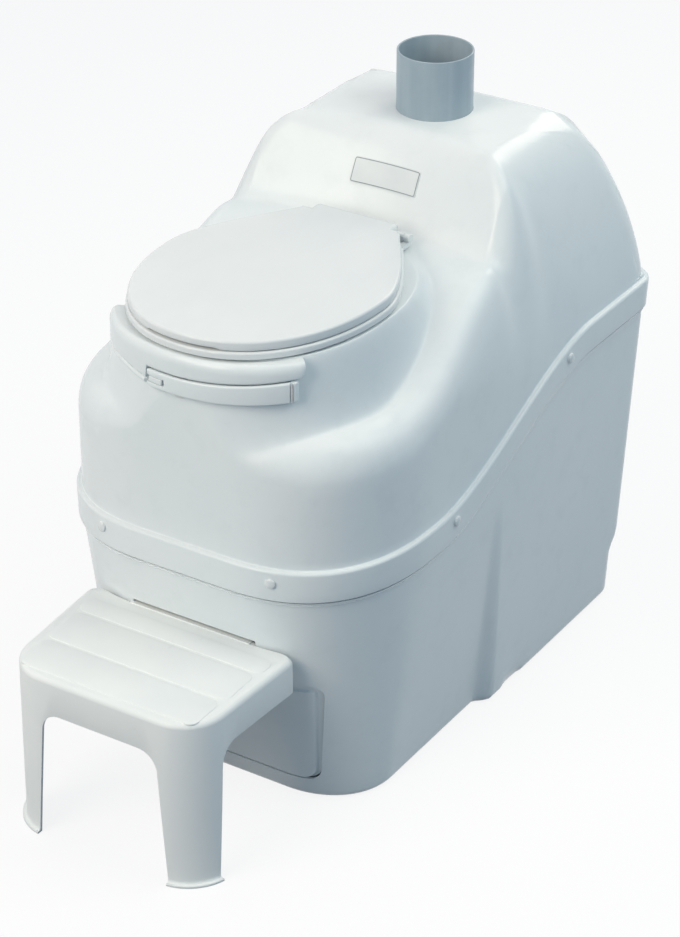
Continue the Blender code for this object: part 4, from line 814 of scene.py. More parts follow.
def edge_shares(x, y):
    """How near a point is to the front and side edge, and to the rear edge; 1 is on it."""
    wall = flange_offsets()[1]
    height = seam_at(y) + flange_height
    half = rear_half_width(height) + wall
    rear = rear_wall_y(height) + wall
    front = front_seam_y - wall
    corner_x, corner_y = seam_corner_x + wall, seam_corner_y + wall
    across, along = abs(x) - (half - corner_x), (front + corner_y) - y
    if across > 0.0 and along > 0.0:
        share = ((across / corner_x) ** seam_squareness
                 + (along / corner_y) ** seam_squareness) ** (1.0 / seam_squareness)
        depth = math.hypot(across, along) * (1.0 / max(share, least_share) - 1.0)
    elif along > 0.0:
        depth = corner_y - along
    else:
        depth = half - abs(x)
    front_width = mixed(front_rim_round, shoulder_round, shoulder_share(x, y))
    roll_width = mixed(front_width, hump_round, humpward(y))
    return max(1.0 - depth / roll_width, 0.0), max(1.0 - (rear - y) / rear_round, 0.0)


def shoulder_share(x, y):
    """0 ahead, where the pedestal runs down the front wall; 1 where a shoulder lies between."""
    across, along = abs(x), seat_centre_y - y
    if along <= 0.0:
        return 1.0
    return eased(math.degrees(math.atan2(across, along)) / shoulder_span)


def upper_surface(x, y, flange_top):
    """Height of the upper shell, with its edges rolled down towards the flange."""
    near_side, near_rear = edge_shares(x, y)
    blend = edge_blend + edge_blend_growth * max(near_side, near_rear) ** 2
    inward = min((near_side ** blend + near_rear ** blend) ** (1.0 / blend), 1.0)
    top = top_surface(x, y)
    full_drop = top - flange_top - flange_round
    front_drop = mixed(front_rim_round, shoulder_drop, shoulder_share(x, y))
    rearward = between(y, drop_change_start, drop_change_end)
    drop = min(mixed(front_drop, full_drop, rearward), full_drop)
    power = mixed(front_round_power, hump_round_power, humpward(y))
    return top - drop * (1.0 - max(1.0 - inward * inward, 0.0) ** power)


def profile_rows(reach, foot, ray, flange_top):
    """Distances along a ray, closer together where the surface bends."""
    samples = []
    for share in shares(profile_samples):
        distance = reach - (reach - foot) * share ** profile_crowding
        x, y = ray[0] * distance, seat_centre_y + ray[1] * distance
        samples.append((distance, upper_surface(x, y, flange_top)))
    while len(samples) > 2 and samples[1][1] - samples[0][1] < fit_gap:
        samples.pop(1)
    measure = [0.0]
    heading = math.pi / 2.0
    for (near, low), (far, high) in zip(samples, samples[1:]):
        turned_to = math.atan2(high - low, near - far)
        step_length = math.hypot(near - far, high - low)
        measure.append(measure[-1] + abs(turned_to - heading) + step_length / row_spacing)
        heading = turned_to
    rows, index = [], 0
    for row in range(1, roll_rows):
        wanted = measure[-1] * row / roll_rows
        while measure[index + 1] < wanted:
            index += 1
        share = (wanted - measure[index]) / (measure[index + 1] - measure[index])
        rows.append(mixed(samples[index][0], samples[index + 1][0], share))
    return rows


def upper_rows(station):
    """Points of one station, from the flange's lower edge in to the opening's lip."""
    seam = seam_height(station)
    flange_top = seam + flange_height
    out, wall = flange_offsets()

    def on_flange(height, offset):
        return (*plan_point(station, height, offset)[:2], height)

    points = [on_flange(seam + flange_foot_round * rise, out - flange_foot_round * fall)
              for rise, fall in quarter(3)]
    points += [on_flange(mixed(seam, flange_top, share), out) for share in flange_shares]
    points += [on_flange(flange_top - flange_round * fall, out - flange_round * rise)
               for rise, fall in quarter(7)]
    x, y = plan_point(station, flange_top, wall)[:2]
    reach = math.hypot(x, y - seat_centre_y)
    ray = (x / reach, (y - seat_centre_y) / reach)

    def on_ray(distance):
        return ray[0] * distance, seat_centre_y + ray[1] * distance

    start_height = max(upper_surface(x, y, flange_top), flange_top + flange_round)
    points += [(*plan_point(station, flange_top, wall + flange_fillet * fall)[:2],
                flange_top + flange_fillet * rise) for rise, fall in quarter(4, fillet_start)]
    points += [(x, y, mixed(flange_top + flange_fillet, start_height, share))
               for share in shares(wall_rows, 1)]
    hole = ellipse_reach(opening_half_width, opening_half_length, x, y)
    rim = min(rim_reach(x, y), reach - front_rim_round) - rim_round
    points += [(*on_ray(distance), upper_surface(*on_ray(distance), flange_top))
               for distance in profile_rows(reach, rim, ray, flange_top) + [rim]]
    points += [(*on_ray(hole + grow), deck_height - drop)
               for grow, drop in ((opening_round, 0.0), (opening_bend, opening_bend),
                                  (0.0, opening_round), (0.0, opening_lip))]
    return points


# Shells


def make_lower_shell(finish):
    """The tub: rounded foot, drawer opening, step slot and drain hole, and a notch each side."""
    stations = body_stations()
    rows = []
    for rise, fall in quarter(7):
        rows.append([(*plan_point(s, base_edge, -base_edge * fall)[:2],
                      (base_edge + notch(s)) * rise) for s in stations])
    full_height = front_seam_height + lower_shell_tuck
    start = tub_start_share * full_height
    for share in shares(tub_rows):
        height = mixed(tub_low_share * full_height, start, share)
        lift = max(1.0 - share * notch_fade, 0.0)
        rows.append([(*plan_point(s, max(height, base_edge + notch(s)))[:2],
                      height + notch(s) * lift) for s in stations])

    def level(station, share):
        return mixed(start, seam_height(station) - seam_groove - seam_bead_height, share)

    for share in shares(tub_seam_rows, 1)[:-1]:
        rows.append([(*plan_point(s, level(s, share))[:2], level(s, share)) for s in stations])
    edge = [(-seam_groove - seam_bead_height * (1.0 - share), seam_bead * eased(share))
            for share in shares(4)]
    edge += [(-seam_groove * groove_shares[0], seam_bead * groove_shares[1]),
             (-seam_groove * groove_shares[2], -seam_groove_depth),
             (lower_shell_tuck, -seam_groove_depth)]
    for height, offset in edge:
        rows.append([(*plan_point(s, seam_height(s) + height, offset)[:2], seam_height(s) + height)
                     for s in stations])
    count = len(stations)
    faces = ring_faces(len(rows), count) + [tuple(reversed(range(count)))]
    shell = piece_from("tub", [point for row in rows for point in row], faces, finish)
    solidified(shell, shell_wall)
    opening = [(drawer_edge(z), z) for z in drawer_heights(0.0, 8)]
    opening += [(-x, z) for x, z in reversed(opening)]
    cut(shell, prism("drawer_opening", opening, front_seam_y - cut_overrun,
                     front_seam_y + seam_corner_y * drawer_cut_share, "Y", finish))
    slot = rounded_rectangle((-slot_half_width, slot_bottom), (slot_half_width, slot_top),
                             (slot_top - slot_bottom) * slot_corner_share)
    cut(shell, prism("slot", slot, front_seam_y - cut_overrun, front_seam_y + cut_overrun * 2.0,
                     "Y", finish))
    drain = circle(drain_radius + fit_gap, small_segments)
    cut(shell, prism("drain_hole", drain, -cut_overrun, cut_overrun, "Y", finish,
                     (drain_x, rear_wall_y(drain_height), drain_height)))
    return dressed(shaded(shell, tub_crease), "body", "gelcoat", "lower_shell")


def make_upper_shell(finish):
    """Seat pedestal, deck, backrest hump and rolled flange, as one moulding."""
    columns = [upper_rows(station) for station in body_stations()]
    rings = [[column[row] for column in columns] for row in range(len(columns[0]))]
    shell = loft("top_moulding", rings, finish, caps=False)
    solidified(shell, shell_wall)
    hole = circle(vent_radius + fit_gap, vent_hole_segments)
    cut(shell, prism("vent_hole", hole, vent_bottom, vent_top, "Z", finish, (0.0, vent_y, 0.0)))
    bush = circle(drive_bush_radius + fit_gap, post_segments)
    cut(shell, prism("bush_hole", bush, front_seam_y - cut_overrun, front_seam_y + cut_overrun, "Y",
                     finish, (0.0, 0.0, drive_height)))
    return dressed(shaded(shell, moulding_crease), "body", "gelcoat", "upper_shell")


def flange_spot(value, axis, kinds):
    """A point on the flange face, and its outward normal, where x or y has the given value."""
    out = flange_offsets()[0]
    stations = [s for s in body_stations() if s[2] > 0.0 and s[0] in kinds]
    for here, after in zip(stations, stations[1:]):
        start = plan_point(here, front_seam_height, out)[axis]
        end = plan_point(after, front_seam_height, out)[axis]
        if min(start, end) <= value <= max(start, end):
            break
    share = (value - start) / (end - start)
    height = mixed(seam_height(here), seam_height(after), share) + flange_height * screw_rise_share

    def face_point(station, z):
        x, y = plan_point(station, z, out)[:2]
        return Vector((x, y, z))

    first, second = face_point(here, height), face_point(after, height)
    upward = face_point(here, height + flange_height) - first
    return first.lerp(second, share), (second - first).cross(upward).normalized()


def screw_places():
    places = []
    for place, normal in (flange_spot(front_screw_x, 0, ("corner",)),
                          flange_spot(side_screw_y, 1, ("corner", "side")),
                          flange_spot(rear_side_screw_y, 1, ("side",)),
                          flange_spot(back_screw_x, 0, ("rear_corner", "rear"))):
        for side in (1.0, -1.0):
            places.append((Vector((side * place.x, place.y, place.z)),
                           Vector((side * normal.x, normal.y, normal.z))))
    return places


def make_flange_screws(finish):
    """Plastic caps with a low dome and a small rounded edge."""
    edge = screw_height * screw_edge_share
    for number, (place, normal) in enumerate(screw_places(), start=1):
        profile = [(screw_radius, -screw_height * screw_sink_share)]
        profile += [(screw_radius - edge * rise, screw_height - edge * 0.5 - edge * fall)
                    for rise, fall in quarter(5, 0.0, screw_dome_start)]
        last_radius, last_height = profile[-1]
        profile += [(last_radius * share, mixed(last_height, screw_height, 1.0 - share ** 2))
                    for share in screw_dome_shares]
        rings = [placed(circle(radius, post_segments), along, "X") for radius, along in profile]
        screw = aligned(loft(f"cap_screw_{number}", rings, finish), place, normal)
        dressed(screw, "body", "seat_plastic", f"flange_screw_{number}")


def make_vent_pipe(finish):
    inner = vent_radius - vent_wall
    lip = vent_wall * vent_lip_share
    profile = [(inner, vent_bottom), (vent_radius, vent_bottom)]
    profile += [(vent_radius, mixed(vent_bottom, vent_top - lip, share))
                for share in shares(4, 1)[:-1]]
    profile += [(vent_radius - lip * rise, vent_top - lip * fall) for rise, fall in quarter(4)]
    profile += [(inner + lip * fall, vent_top - lip * rise) for rise, fall in quarter(4)]
    rings = [placed(circle(radius, vent_segments), height, "Z", (0.0, vent_y, 0.0))
             for radius, height in profile]
    return dressed(hoop("pipe", rings, finish), "body", "pipe_plastic", "vent_pipe")


def backrest_y(x, z):
    """Where the backrest lies at a place across and a height."""
    return halved(backrest_mid_y - backrest_search_front, backrest_mid_y + backrest_search_rear,
                  lambda y: top_surface(x, y) >= z)


def laid_plate(name, margin, thickness, finish):
    """A thin plate with rounded corners, laid on the backrest, smaller by the margin."""
    half_width, half_height = badge_half_width - margin, badge_half_height - margin
    corner = badge_corner - margin
    points = []
    for level in shares(badge_rows):
        for share in shares(badge_columns):
            across, up = half_width * (2.0 * share - 1.0), half_height * (2.0 * level - 1.0)
            inside_x = half_width - corner - abs(across)
            inside_z = half_height - corner - abs(up)
            if inside_x < 0.0 and inside_z < 0.0:
                shrink = min(corner / math.hypot(inside_x, inside_z), 1.0)
                across = math.copysign(half_width - corner - inside_x * shrink, across)
                up = math.copysign(half_height - corner - inside_z * shrink, up)
            height = badge_height + up * badge_slope
            east, west, above, below = (backrest_y(across + x, height + z)
                                        for x, z in ((badge_span, 0.0), (-badge_span, 0.0),
                                                     (0.0, badge_span), (0.0, -badge_span)))
            normal = Vector((east - west, -2.0 * badge_span, above - below)).normalized()
            points.append(Vector((across, backrest_y(across, height), height)) + normal * thickness)
    faces = ring_faces(badge_rows + 1, badge_columns + 1, False)
    plate = solidified(piece_from(name, points, faces, finish), thickness)
    return dressed(shaded(plate, plate_crease), "body", "seat_plastic")


def make_badge_plate(finish, line_finish):
    """The bare plate in its thin grey border, on a pale backing."""
    laid_plate("badge_backing", 0.0, badge_thickness, finish)
    laid_plate("badge_border", badge_edge, badge_thickness + badge_border_rise, line_finish)
    laid_plate("badge_plate", badge_edge + badge_border_width,
               badge_thickness + badge_border_rise * 2.0, finish)


# Seat ring and lid


def ring_bottom():
    return deck_height + bumper_height


def seat_outline(grow, rear_y):
    """Right half of the seat's outline, from the front middle to its rear corner."""
    half, length = seat_half_width + grow, seat_front_length + grow
    power = 2.0 / seat_squareness
    outline = [(half * math.sin(spoke) ** power,
                seat_waist_y - length * max(math.cos(spoke), 0.0) ** power)
               for spoke in arc(0.0, 90.0, seat_front_steps)]
    start, side = (half, seat_waist_y), (half, seat_waist_y + seat_side_pull)
    end = (seat_rear_x + grow, seat_rear_y + grow)
    pull = (end[0] + seat_rear_pull_x, end[1] - seat_rear_pull_y)
    for t in shares(seat_rear_steps, 1):
        weights = ((1.0 - t) ** 3, 3.0 * t * (1.0 - t) ** 2, 3.0 * t * t * (1.0 - t), t ** 3)
        x, y = (sum(w * point[axis] for w, point in zip(weights, (start, side, pull, end)))
                for axis in (0, 1))
        outline.append((x, min(y, rear_y + grow)))
    return outline


def mirrored(outline):
    """The whole outline; points on the middle line are used once."""
    left = [(-x, y) for x, y in reversed(outline) if abs(x) > fit_gap]
    return outline + left


def hinge_centre():
    return Vector((0.0, hinge_y, deck_height + hinge_height))


def hinge_lug(name, start, end, finish):
    return prism(name, circle(hinge_lug_radius, small_segments), start, end, "X", finish,
                 hinge_centre())


def make_seat_ring(finish):
    """The closed-front ring, rounded inside and out, with two lugs at the back."""
    bottom, top = ring_bottom(), ring_bottom() + ring_thickness
    outer = [(-ring_foot_edge, bottom), (0.0, bottom + ring_foot_edge)]
    outer += [(-ring_edge * rise, top - ring_edge * fall) for rise, fall in quarter(6)]
    rings = [[(x, y, z) for x, y in mirrored(seat_outline(ring_grow + grow, ring_rear_y))]
             for grow, z in outer]

    def hole(grow, z):
        half, length = ring_hole_half_width + grow, ring_hole_half_length + grow
        spokes = [math.atan2(x / half, -(y - seat_centre_y) / length) for x, y, _ in rings[0]]
        return [(half * math.sin(spoke), seat_centre_y - length * math.cos(spoke), z)
                for spoke in spokes]

    rings += [hole(ring_edge * ring_fall * fall, top - ring_edge * rise)
              for rise, fall in quarter(6)]
    rings += [hole(0.0, bottom + ring_foot_edge), hole(ring_foot_edge, bottom)]
    ring = hoop("ring", rings, finish)
    for side in (1.0, -1.0):
        low, high = sorted((side * ring_lug_start, side * ring_lug_end))
        outline = rounded_rectangle((-hinge_lug_radius, bottom + fit_gap),
                                    (hinge_y, top - ring_edge), ring_arm_corner)
        arm = prism("arm", outline, low, high, "X", finish)
        joined(arm, hinge_lug("lug", low, high, finish))
        joined(ring, arm)
    return dressed(shaded(ring, moulding_crease), "ring", "seat_plastic", "seat_ring")


def lid_bottom():
    return ring_bottom() + ring_thickness + lid_gap


def lid_outline(grow):
    """The seat's outline with a straight tab at the back, between the hinge blocks."""
    tab, rear, corner = lid_tab_half_width + grow, lid_tab_rear_y + grow, lid_tab_corner
    start, foot = seat_rear_y + grow, corner * lid_foot_share
    outline = seat_outline(grow, seat_rear_y)
    outline += [(tab + foot, start), (tab, start + foot), (tab, rear - corner)]
    outline += [(tab - corner * rise, rear - corner * fall)
                for rise, fall in quarter(5, fillet_start)]
    outline += [(tab * 0.5, rear), (0.0, rear)]
    return mirrored(outline)


def thumb_lift(x, y):
    """How far the skirt's lower edge is raised at the middle of the front."""
    if y > seat_centre_y:
        return 0.0
    return thumb_rise * (1.0 - eased((abs(x) - thumb_half_width) / thumb_fade))


def make_seat_lid(finish):
    """A domed cover with a skirt, hollow below, that swings on the ring's pins."""
    bottom = lid_bottom()
    top = bottom + lid_skirt

    def level(grow, z, lifted=0.0):
        return [(x, y, z + thumb_lift(x, y) * lifted) for x, y in lid_outline(grow)]

    def dome(share, z, crown):
        height = z + crown * (1.0 - share * share)
        return [(x * share, mixed(seat_centre_y, y, share), height)
                for x, y in lid_outline(-lid_edge)]

    low_edge = lid_foot_edge
    rings = [level(-low_edge, bottom, 1.0), level(-low_edge / 3.0, bottom + low_edge / 3.0, 1.0),
             level(0.0, bottom + low_edge, 1.0),
             level(0.0, bottom + lid_skirt * lid_rest_share, lid_rest_lift),
             level(0.0, top - lid_edge)]
    rings += [level(-lid_edge * rise, top - lid_edge * fall)
              for rise, fall in quarter(8, lid_round_start)]
    rings += [dome(1.0 - share, top, lid_crown) for share in shares(lid_dome_rings, 1)[:-1]]
    ceiling, under_crown = top - lid_wall, lid_crown * lid_under_share
    under = [dome(lid_under_start + step / (lid_under_rings + 1.0), ceiling, under_crown)
             for step in range(lid_under_rings)]
    under += [level(-lid_wall * lid_bend[0], ceiling),
              level(-lid_wall * lid_bend[1], top - lid_wall * lid_bend[2]),
              level(-lid_wall, top - lid_wall * 2.0),
              level(-lid_wall, bottom + lid_inner_edge, 1.0),
              level(-lid_wall + lid_inner_edge, bottom, 1.0)]
    points = [point for ring in rings + under for point in ring]
    count = len(rings[0])
    split = len(rings) * count
    faces = ring_faces(len(rings), count)
    faces += [tuple(split + i for i in face) for face in ring_faces(len(under), count)]
    points += [(0.0, seat_centre_y, top + lid_crown), (0.0, seat_centre_y, ceiling + under_crown)]
    tip, base = len(points) - 2, len(points) - 1
    last = split - count
    end = last + len(under) * count
    for s in range(count):
        after = (s + 1) % count
        faces += [(last + s, last + after, tip), (split + after, split + s, base),
                  (end + s, end + after, after, s)]
    lid = piece_from("lid", points, faces, finish, lid_crease)
    for side in (1.0, -1.0):
        low, high = sorted((side * lid_lug_start, side * lid_lug_end))
        joined(lid, hinge_lug("lug", low, high, finish))
    return dressed(shaded(lid, lid_crease), "lid", "seat_plastic", "seat_lid")


# Bands at the front of the pedestal


def around(span, reach, height):
    """A point beside the pedestal; span is degrees from the front, reach is outward."""
    spoke = math.radians(span)
    power = 2.0 / pedestal_squareness
    across = math.copysign(abs(math.sin(spoke)) ** power, spoke)
    ahead = math.cos(spoke) ** power
    return Vector(((pedestal_half_width + reach) * across,
                   seat_centre_y - (pedestal_half_length + reach) * ahead, height))


def banded(sections):
    """Rings of points from spans and the reaches and heights of the section at each."""
    return [[around(span, reach, height) for reach, height in section]
            for span, section in sections]


def outward(span):
    along = around(span + 1.0, 0.0, 0.0) - around(span - 1.0, 0.0, 0.0)
    return Vector((along.y, -along.x, 0.0)).normalized()


def left_share(span):
    """1 where the moulding runs down past the crank's end, on the left, and 0 on its right."""
    return eased((lip_left_span - span) / lip_left_change)


def lip_climb(span):
    """The lip's lower edge on the right of the crank's end; it climbs to the right."""
    return lip_bottom + lip_rise * max(span, 0.0) / lip_span


def lip_low(span):
    """Lower edge of the lip, which arches over its roll on the left."""
    share = min(max((lip_left_span - span) / (lip_left_span - lip_left_end), 0.0), 1.0)
    arched = lip_left_low + lip_left_arch * math.sin(math.pi * share)
    return mixed(lip_climb(span), arched, left_share(span))


def lip_section(span):
    """Reach and height round the lip, whose ends are rounded off."""
    beyond = max((abs(span) - (lip_span - lip_end_span)) / lip_end_span, 0.0)
    bend = 1.0 - math.sqrt(max(1.0 - beyond * beyond, 0.0))
    top, low = deck_height - fit_gap, lip_low(span) + lip_end_lift * bend
    left = eased((lip_left_span - span) / lip_left_blend)
    reach = mixed(lip_reach, crank_reach, left) - lip_end_pull * bend
    section = [(reach - lip_edge * fall, low + lip_edge * rise) for rise, fall in quarter(6)]
    nose = min(lip_nose, top - low - lip_edge)
    flat = top - nose
    section.append((reach, mixed(low + lip_edge, flat, 0.5)))
    section += [(reach - lip_nose * lip_nose_share * rise, top - nose * fall)
                for rise, fall in quarter(12)]
    for share in lip_back_shares:
        height = mixed(low, top, share)
        section.append((pedestal_reach(height) + fit_gap, height))
    return section


def make_front_lip(finish):
    """The rim moulding over the crank, with a roll under its left part."""
    full = lip_span - lip_end_span
    even = [lip_span * lip_even_share * share for share in shares(lip_steps)[:-1]]
    half = [span for span in even if span < full]
    half += [lip_span - lip_end_span * fall for _, fall in quarter(8)]
    spans = [-span for span in half[1:]] + half
    spans += [lip_left_span - lip_left_change * (step + 0.5) / lip_change_steps
              for step in range(lip_change_steps)]
    rings = banded([(span, lip_section(span)) for span in sorted(spans)])
    lip = loft("lip", rings, finish, sharp_angle=band_crease)
    dressed(lip, "body", "gelcoat", "front_lip")
    sections = []
    for share in shares(roll_steps):
        span = mixed(lip_left_end, lip_left_span - lip_left_change, share)
        swell = math.sqrt(min(1.0, share * roll_growth, (1.0 - share) * roll_fade + roll_end_swell))
        high = lip_low(span) - lip_left_crease
        half_height = mixed(roll_left_height, roll_right_height, share) / 2.0
        middle = high - half_height
        foot = pedestal_reach(middle) - roll_sink
        sections.append((span, [(foot + (roll_reach - foot) * swell * math.sin(spoke) ** roll_power,
                                 middle - half_height * math.cos(spoke))
                                for spoke in arc(0.0, 180.0, roll_points)]))
    roll = loft("lip_roll", banded(sections), finish, sharp_angle=band_crease)
    return dressed(roll, "body", "gelcoat", "front_lip")


def crank_low(span):
    share = (span - crank_span_start) / (crank_span_end - crank_span_start)
    return crank_low_start + crank_low_rise * share


def crank_high(span):
    return lip_climb(span) - crank_lip_gap


def rounded_post(name, radius, low, high, place, edge, finish):
    """An upright round post with softened ends."""
    levels = [(radius - edge * fall, low + edge * rise) for rise, fall in quarter(5)]
    levels += [(radius - edge * rise, high - edge * fall) for rise, fall in quarter(5)]
    return loft(name, [placed(circle(size, post_segments), z, "Z", (place.x, place.y, 0.0))
                       for size, z in levels], finish)


def make_crank(finish, metal):
    """The fold-out crank bar with its open slot and knuckle, its pin and its bracket."""
    edge = crank_bar_depth * crank_edge_share
    inner = crank_reach - crank_bar_depth
    sections = []
    for number, share in enumerate(shares(crank_steps)):
        span = mixed(crank_span_start, crank_span_end, share)
        inset = crank_end_insets[number] if number < len(crank_end_insets) else 0.0
        sections.append((span, rounded_rectangle((inner + inset, crank_low(span) + inset),
                                                 (crank_reach - inset, crank_high(span) - inset),
                                                 edge - inset, 5)))
    bar = loft("crank_bar", banded(sections), finish)
    low, high = crank_low(crank_span_end), crank_high(crank_span_end)
    end = around(crank_knuckle_span, crank_reach - crank_knuckle_radius, 0.0)
    joined(bar, rounded_post("knuckle", crank_knuckle_radius, low, high, end, edge, finish))
    section = rounded_rectangle((inner - edge, crank_slot_low),
                                (crank_reach + edge, crank_slot_high), crank_slot_corner, 4)
    slot_start = crank_span_start - crank_slot_overrun
    cut(bar, loft("slot", banded([(mixed(slot_start, crank_slot_end, share), section)
                                  for share in shares(crank_slot_steps)]), finish))
    pivot = around(crank_pivot_span, crank_pivot_reach, 0.0)
    cut(bar, prism("bore", circle(crank_bore, small_segments), crank_slot_low - cut_overrun,
                   crank_slot_high + cut_overrun, "Z", finish, pivot))
    dressed(softened(bar, crank_soft_edge), "crank", "gelcoat", "crank_handle")
    low, high = low + crank_pin_inset, high - crank_pin_inset
    pin = rounded_post("hinge_pin", crank_pin_radius, low, high, pivot,
                       crank_pin_radius * crank_pin_edge_share, metal)
    dressed(pin, "body", "steel", "crank_pin")
    foot = around(crank_pivot_span, 0.0, 0.0)
    ahead = outward(crank_pivot_span)
    side = Vector((-ahead.y, ahead.x, 0.0)) * crank_bracket_half
    tip = around(crank_pivot_span, crank_lug_reach, 0.0)
    lug = [foot + side, foot - side, tip - side * crank_lug_taper, tip + side * crank_lug_taper]
    bracket = prism("hinge_bracket", [(point.x, point.y) for point in lug],
                    low + crank_pin_inset, high - crank_pin_inset, "Z", metal)
    return dressed(softened(bracket, bracket_soft_edge), "body", "steel", "crank_bracket")


def make_drum_lock(finish):
    """The pull tab in the crank's slot, rounded on every edge, and its stem."""
    height = (crank_slot_low + crank_slot_high) / 2.0 - lock_drop
    start, end = lock_knob_start, lock_knob_start + lock_knob_length
    half_long, half_tall = lock_knob_width / 2.0, lock_knob_height / 2.0
    edge = lock_knob_length * lock_edge_share
    levels = [(start, -edge * lock_foot_share), (start + edge * lock_foot_share, 0.0)]
    levels += [(end - edge * fall, -edge * rise) for rise, fall in quarter(6)]
    rings = [placed(rounded_rectangle((-half_long - grow, -half_tall - grow),
                                      (half_long + grow, half_tall + grow), half_tall * 0.5),
                    along, "X") for along, grow in levels]
    tab = loft("lock_tab", rings, finish)
    joined(tab, prism("stem", circle(lock_stem_radius, stem_segments), start - lock_stem_length,
                      start + edge, "X", finish))
    aligned(tab, around(lock_span, 0.0, height), outward(lock_span))
    return dressed(tab, "lock", "gelcoat", "drum_lock_plunger")


# Finishing drawer's front


def drawer_share(z):
    return (z - drawer_bottom) / (drawer_top - drawer_bottom)


def drawer_edge(z, shrink=0.0):
    """Half width of the drawer's opening at a height, with its rounded corners."""
    half = mixed(drawer_bottom_half_width, drawer_top_half_width, drawer_share(z)) - shrink
    radius = drawer_corner - shrink
    inside = min(z - drawer_bottom, drawer_top - z) - shrink
    if inside >= radius:
        return half
    return half - radius + math.sqrt(max(radius ** 2 - (radius - inside) ** 2, 0.0))


def drawer_heights(shrink=0.0, steps=10):
    low, high = drawer_bottom + shrink, drawer_top - shrink
    radius = drawer_corner - shrink
    ends = [radius * rise for rise, _ in quarter(steps)]
    middle = [mixed(low + radius, high - radius, share) for share in shares(drawer_rows, 1)[:-1]]
    return [low + rise for rise in ends] + middle + [high - rise for rise in reversed(ends)]


def make_drawer_front(finish):
    """The drawer's front follows the tub; its middle stands proud inside a flat rim."""
    rim_top = drawer_top - drawer_rim
    ramp = drawer_proud * drawer_ramp_share
    heights = sorted(drawer_heights(drawer_gap)
                     + [rim_top + ramp * (share - 0.5) for share in shares(5)])

    def edges(z):
        """Half width of the front and of its raised middle."""
        half = drawer_edge(z, drawer_gap)
        return half, half - mixed(drawer_low_side_rim, drawer_side_rim, drawer_share(z))

    def columns(z):
        """Places across the front, closer together at the rim."""
        half, rim = edges(z)
        right = [(rim - ramp) * math.sin(math.pi / 2.0 * share) for share in shares(drawer_columns)]
        right += [rim + ramp * (share - 0.5) for share in drawer_ramp_places]
        right += [half - drawer_edge_width, half]
        return [-x for x in reversed(right[1:])] + right

    def outer_depth(x, z):
        half, rim = edges(z)
        share_x = eased((rim + ramp * 0.5 - abs(x)) / ramp)
        share_z = eased((rim_top + ramp * 0.5 - z) / ramp)
        edge = drawer_edge_fall if half - abs(x) < fit_gap else 0.0
        return drawer_inset - drawer_proud * share_x * share_z + edge

    points = []
    for back in (False, True):
        for z in heights:
            for x in columns(z):
                depth = drawer_inset + drawer_panel if back else outer_depth(x, z)
                points.append((x, wall_front_at(x, z) + depth, z))
    across = len(columns(heights[0]))
    layer = across * len(heights)
    faces = ring_faces(len(heights), across, False)
    faces += [tuple(layer + corner for corner in reversed(face)) for face in faces]
    last = len(heights) - 1
    loop = list(range(across))
    loop += [row * across + across - 1 for row in range(1, len(heights))]
    loop += [last * across + column for column in range(across - 2, -1, -1)]
    loop += [row * across for row in range(last - 1, 0, -1)]
    for here, after in zip(loop, loop[1:] + loop[:1]):
        faces.append((here, layer + here, layer + after, after))
    front = piece_from("drawer_panel", points, faces, finish, lid_crease)
    return dressed(front, "drawer", "gelcoat", "drawer_front")


# Step


def step_share(y):
    """0 at the step's front, 1 at its rear."""
    return (y - step_front_y) / (step_rear_y - step_front_y)


def flared(y):
    """The step is a little wider at the tub than at its front."""
    return 1.0 + step_flare_share * step_share(y)


def step_rear(x):
    """Rear edge of the step in its own frame, just clear of the tub."""
    return wall_front_at(x + step_shift, step_height) - step_wall_gap


def step_outline(grow):
    """Plan of the step: large corners in front, and a rear edge that follows the tub's wall."""
    half, front = step_half_width + grow, step_front_y - grow
    big = step_corner + grow
    outline = []
    for side in (1.0, -1.0):
        part = [((half - big) * share, front) for share in shares(4, 1)[:-1]]
        part += [(half - big * fall, front + big * rise) for rise, fall in quarter(20)]
        side_end = step_rear(side * half) - step_rear_corner
        part += [(half, mixed(front + big, side_end, share)) for share in shares(4, 1)[:-1]]
        for rise, fall in quarter(6):
            x = half - step_rear_corner * rise
            part.append((x, step_rear(side * x) - step_rear_corner * fall))
        for number in range(step_rear_points):
            x = min(step_half_width * (step_rear_first - step_rear_spacing * number),
                    half - step_rear_corner)
            part.append((x, step_rear(side * x)))
        part = [(side * x * flared(y), y) for x, y in part]
        outline += part if side > 0.0 else list(reversed(part))
    return outline


def arch(half_low, half_high, height, radius):
    """Outline of an arch with splayed sides and round top corners, foot to foot."""
    outline = [(-half_low, -cut_overrun)]
    outline += [(-half_high + radius * rise, height - radius * fall) for rise, fall in quarter(14)]
    return outline + [(-x, z) for x, z in reversed(outline)]


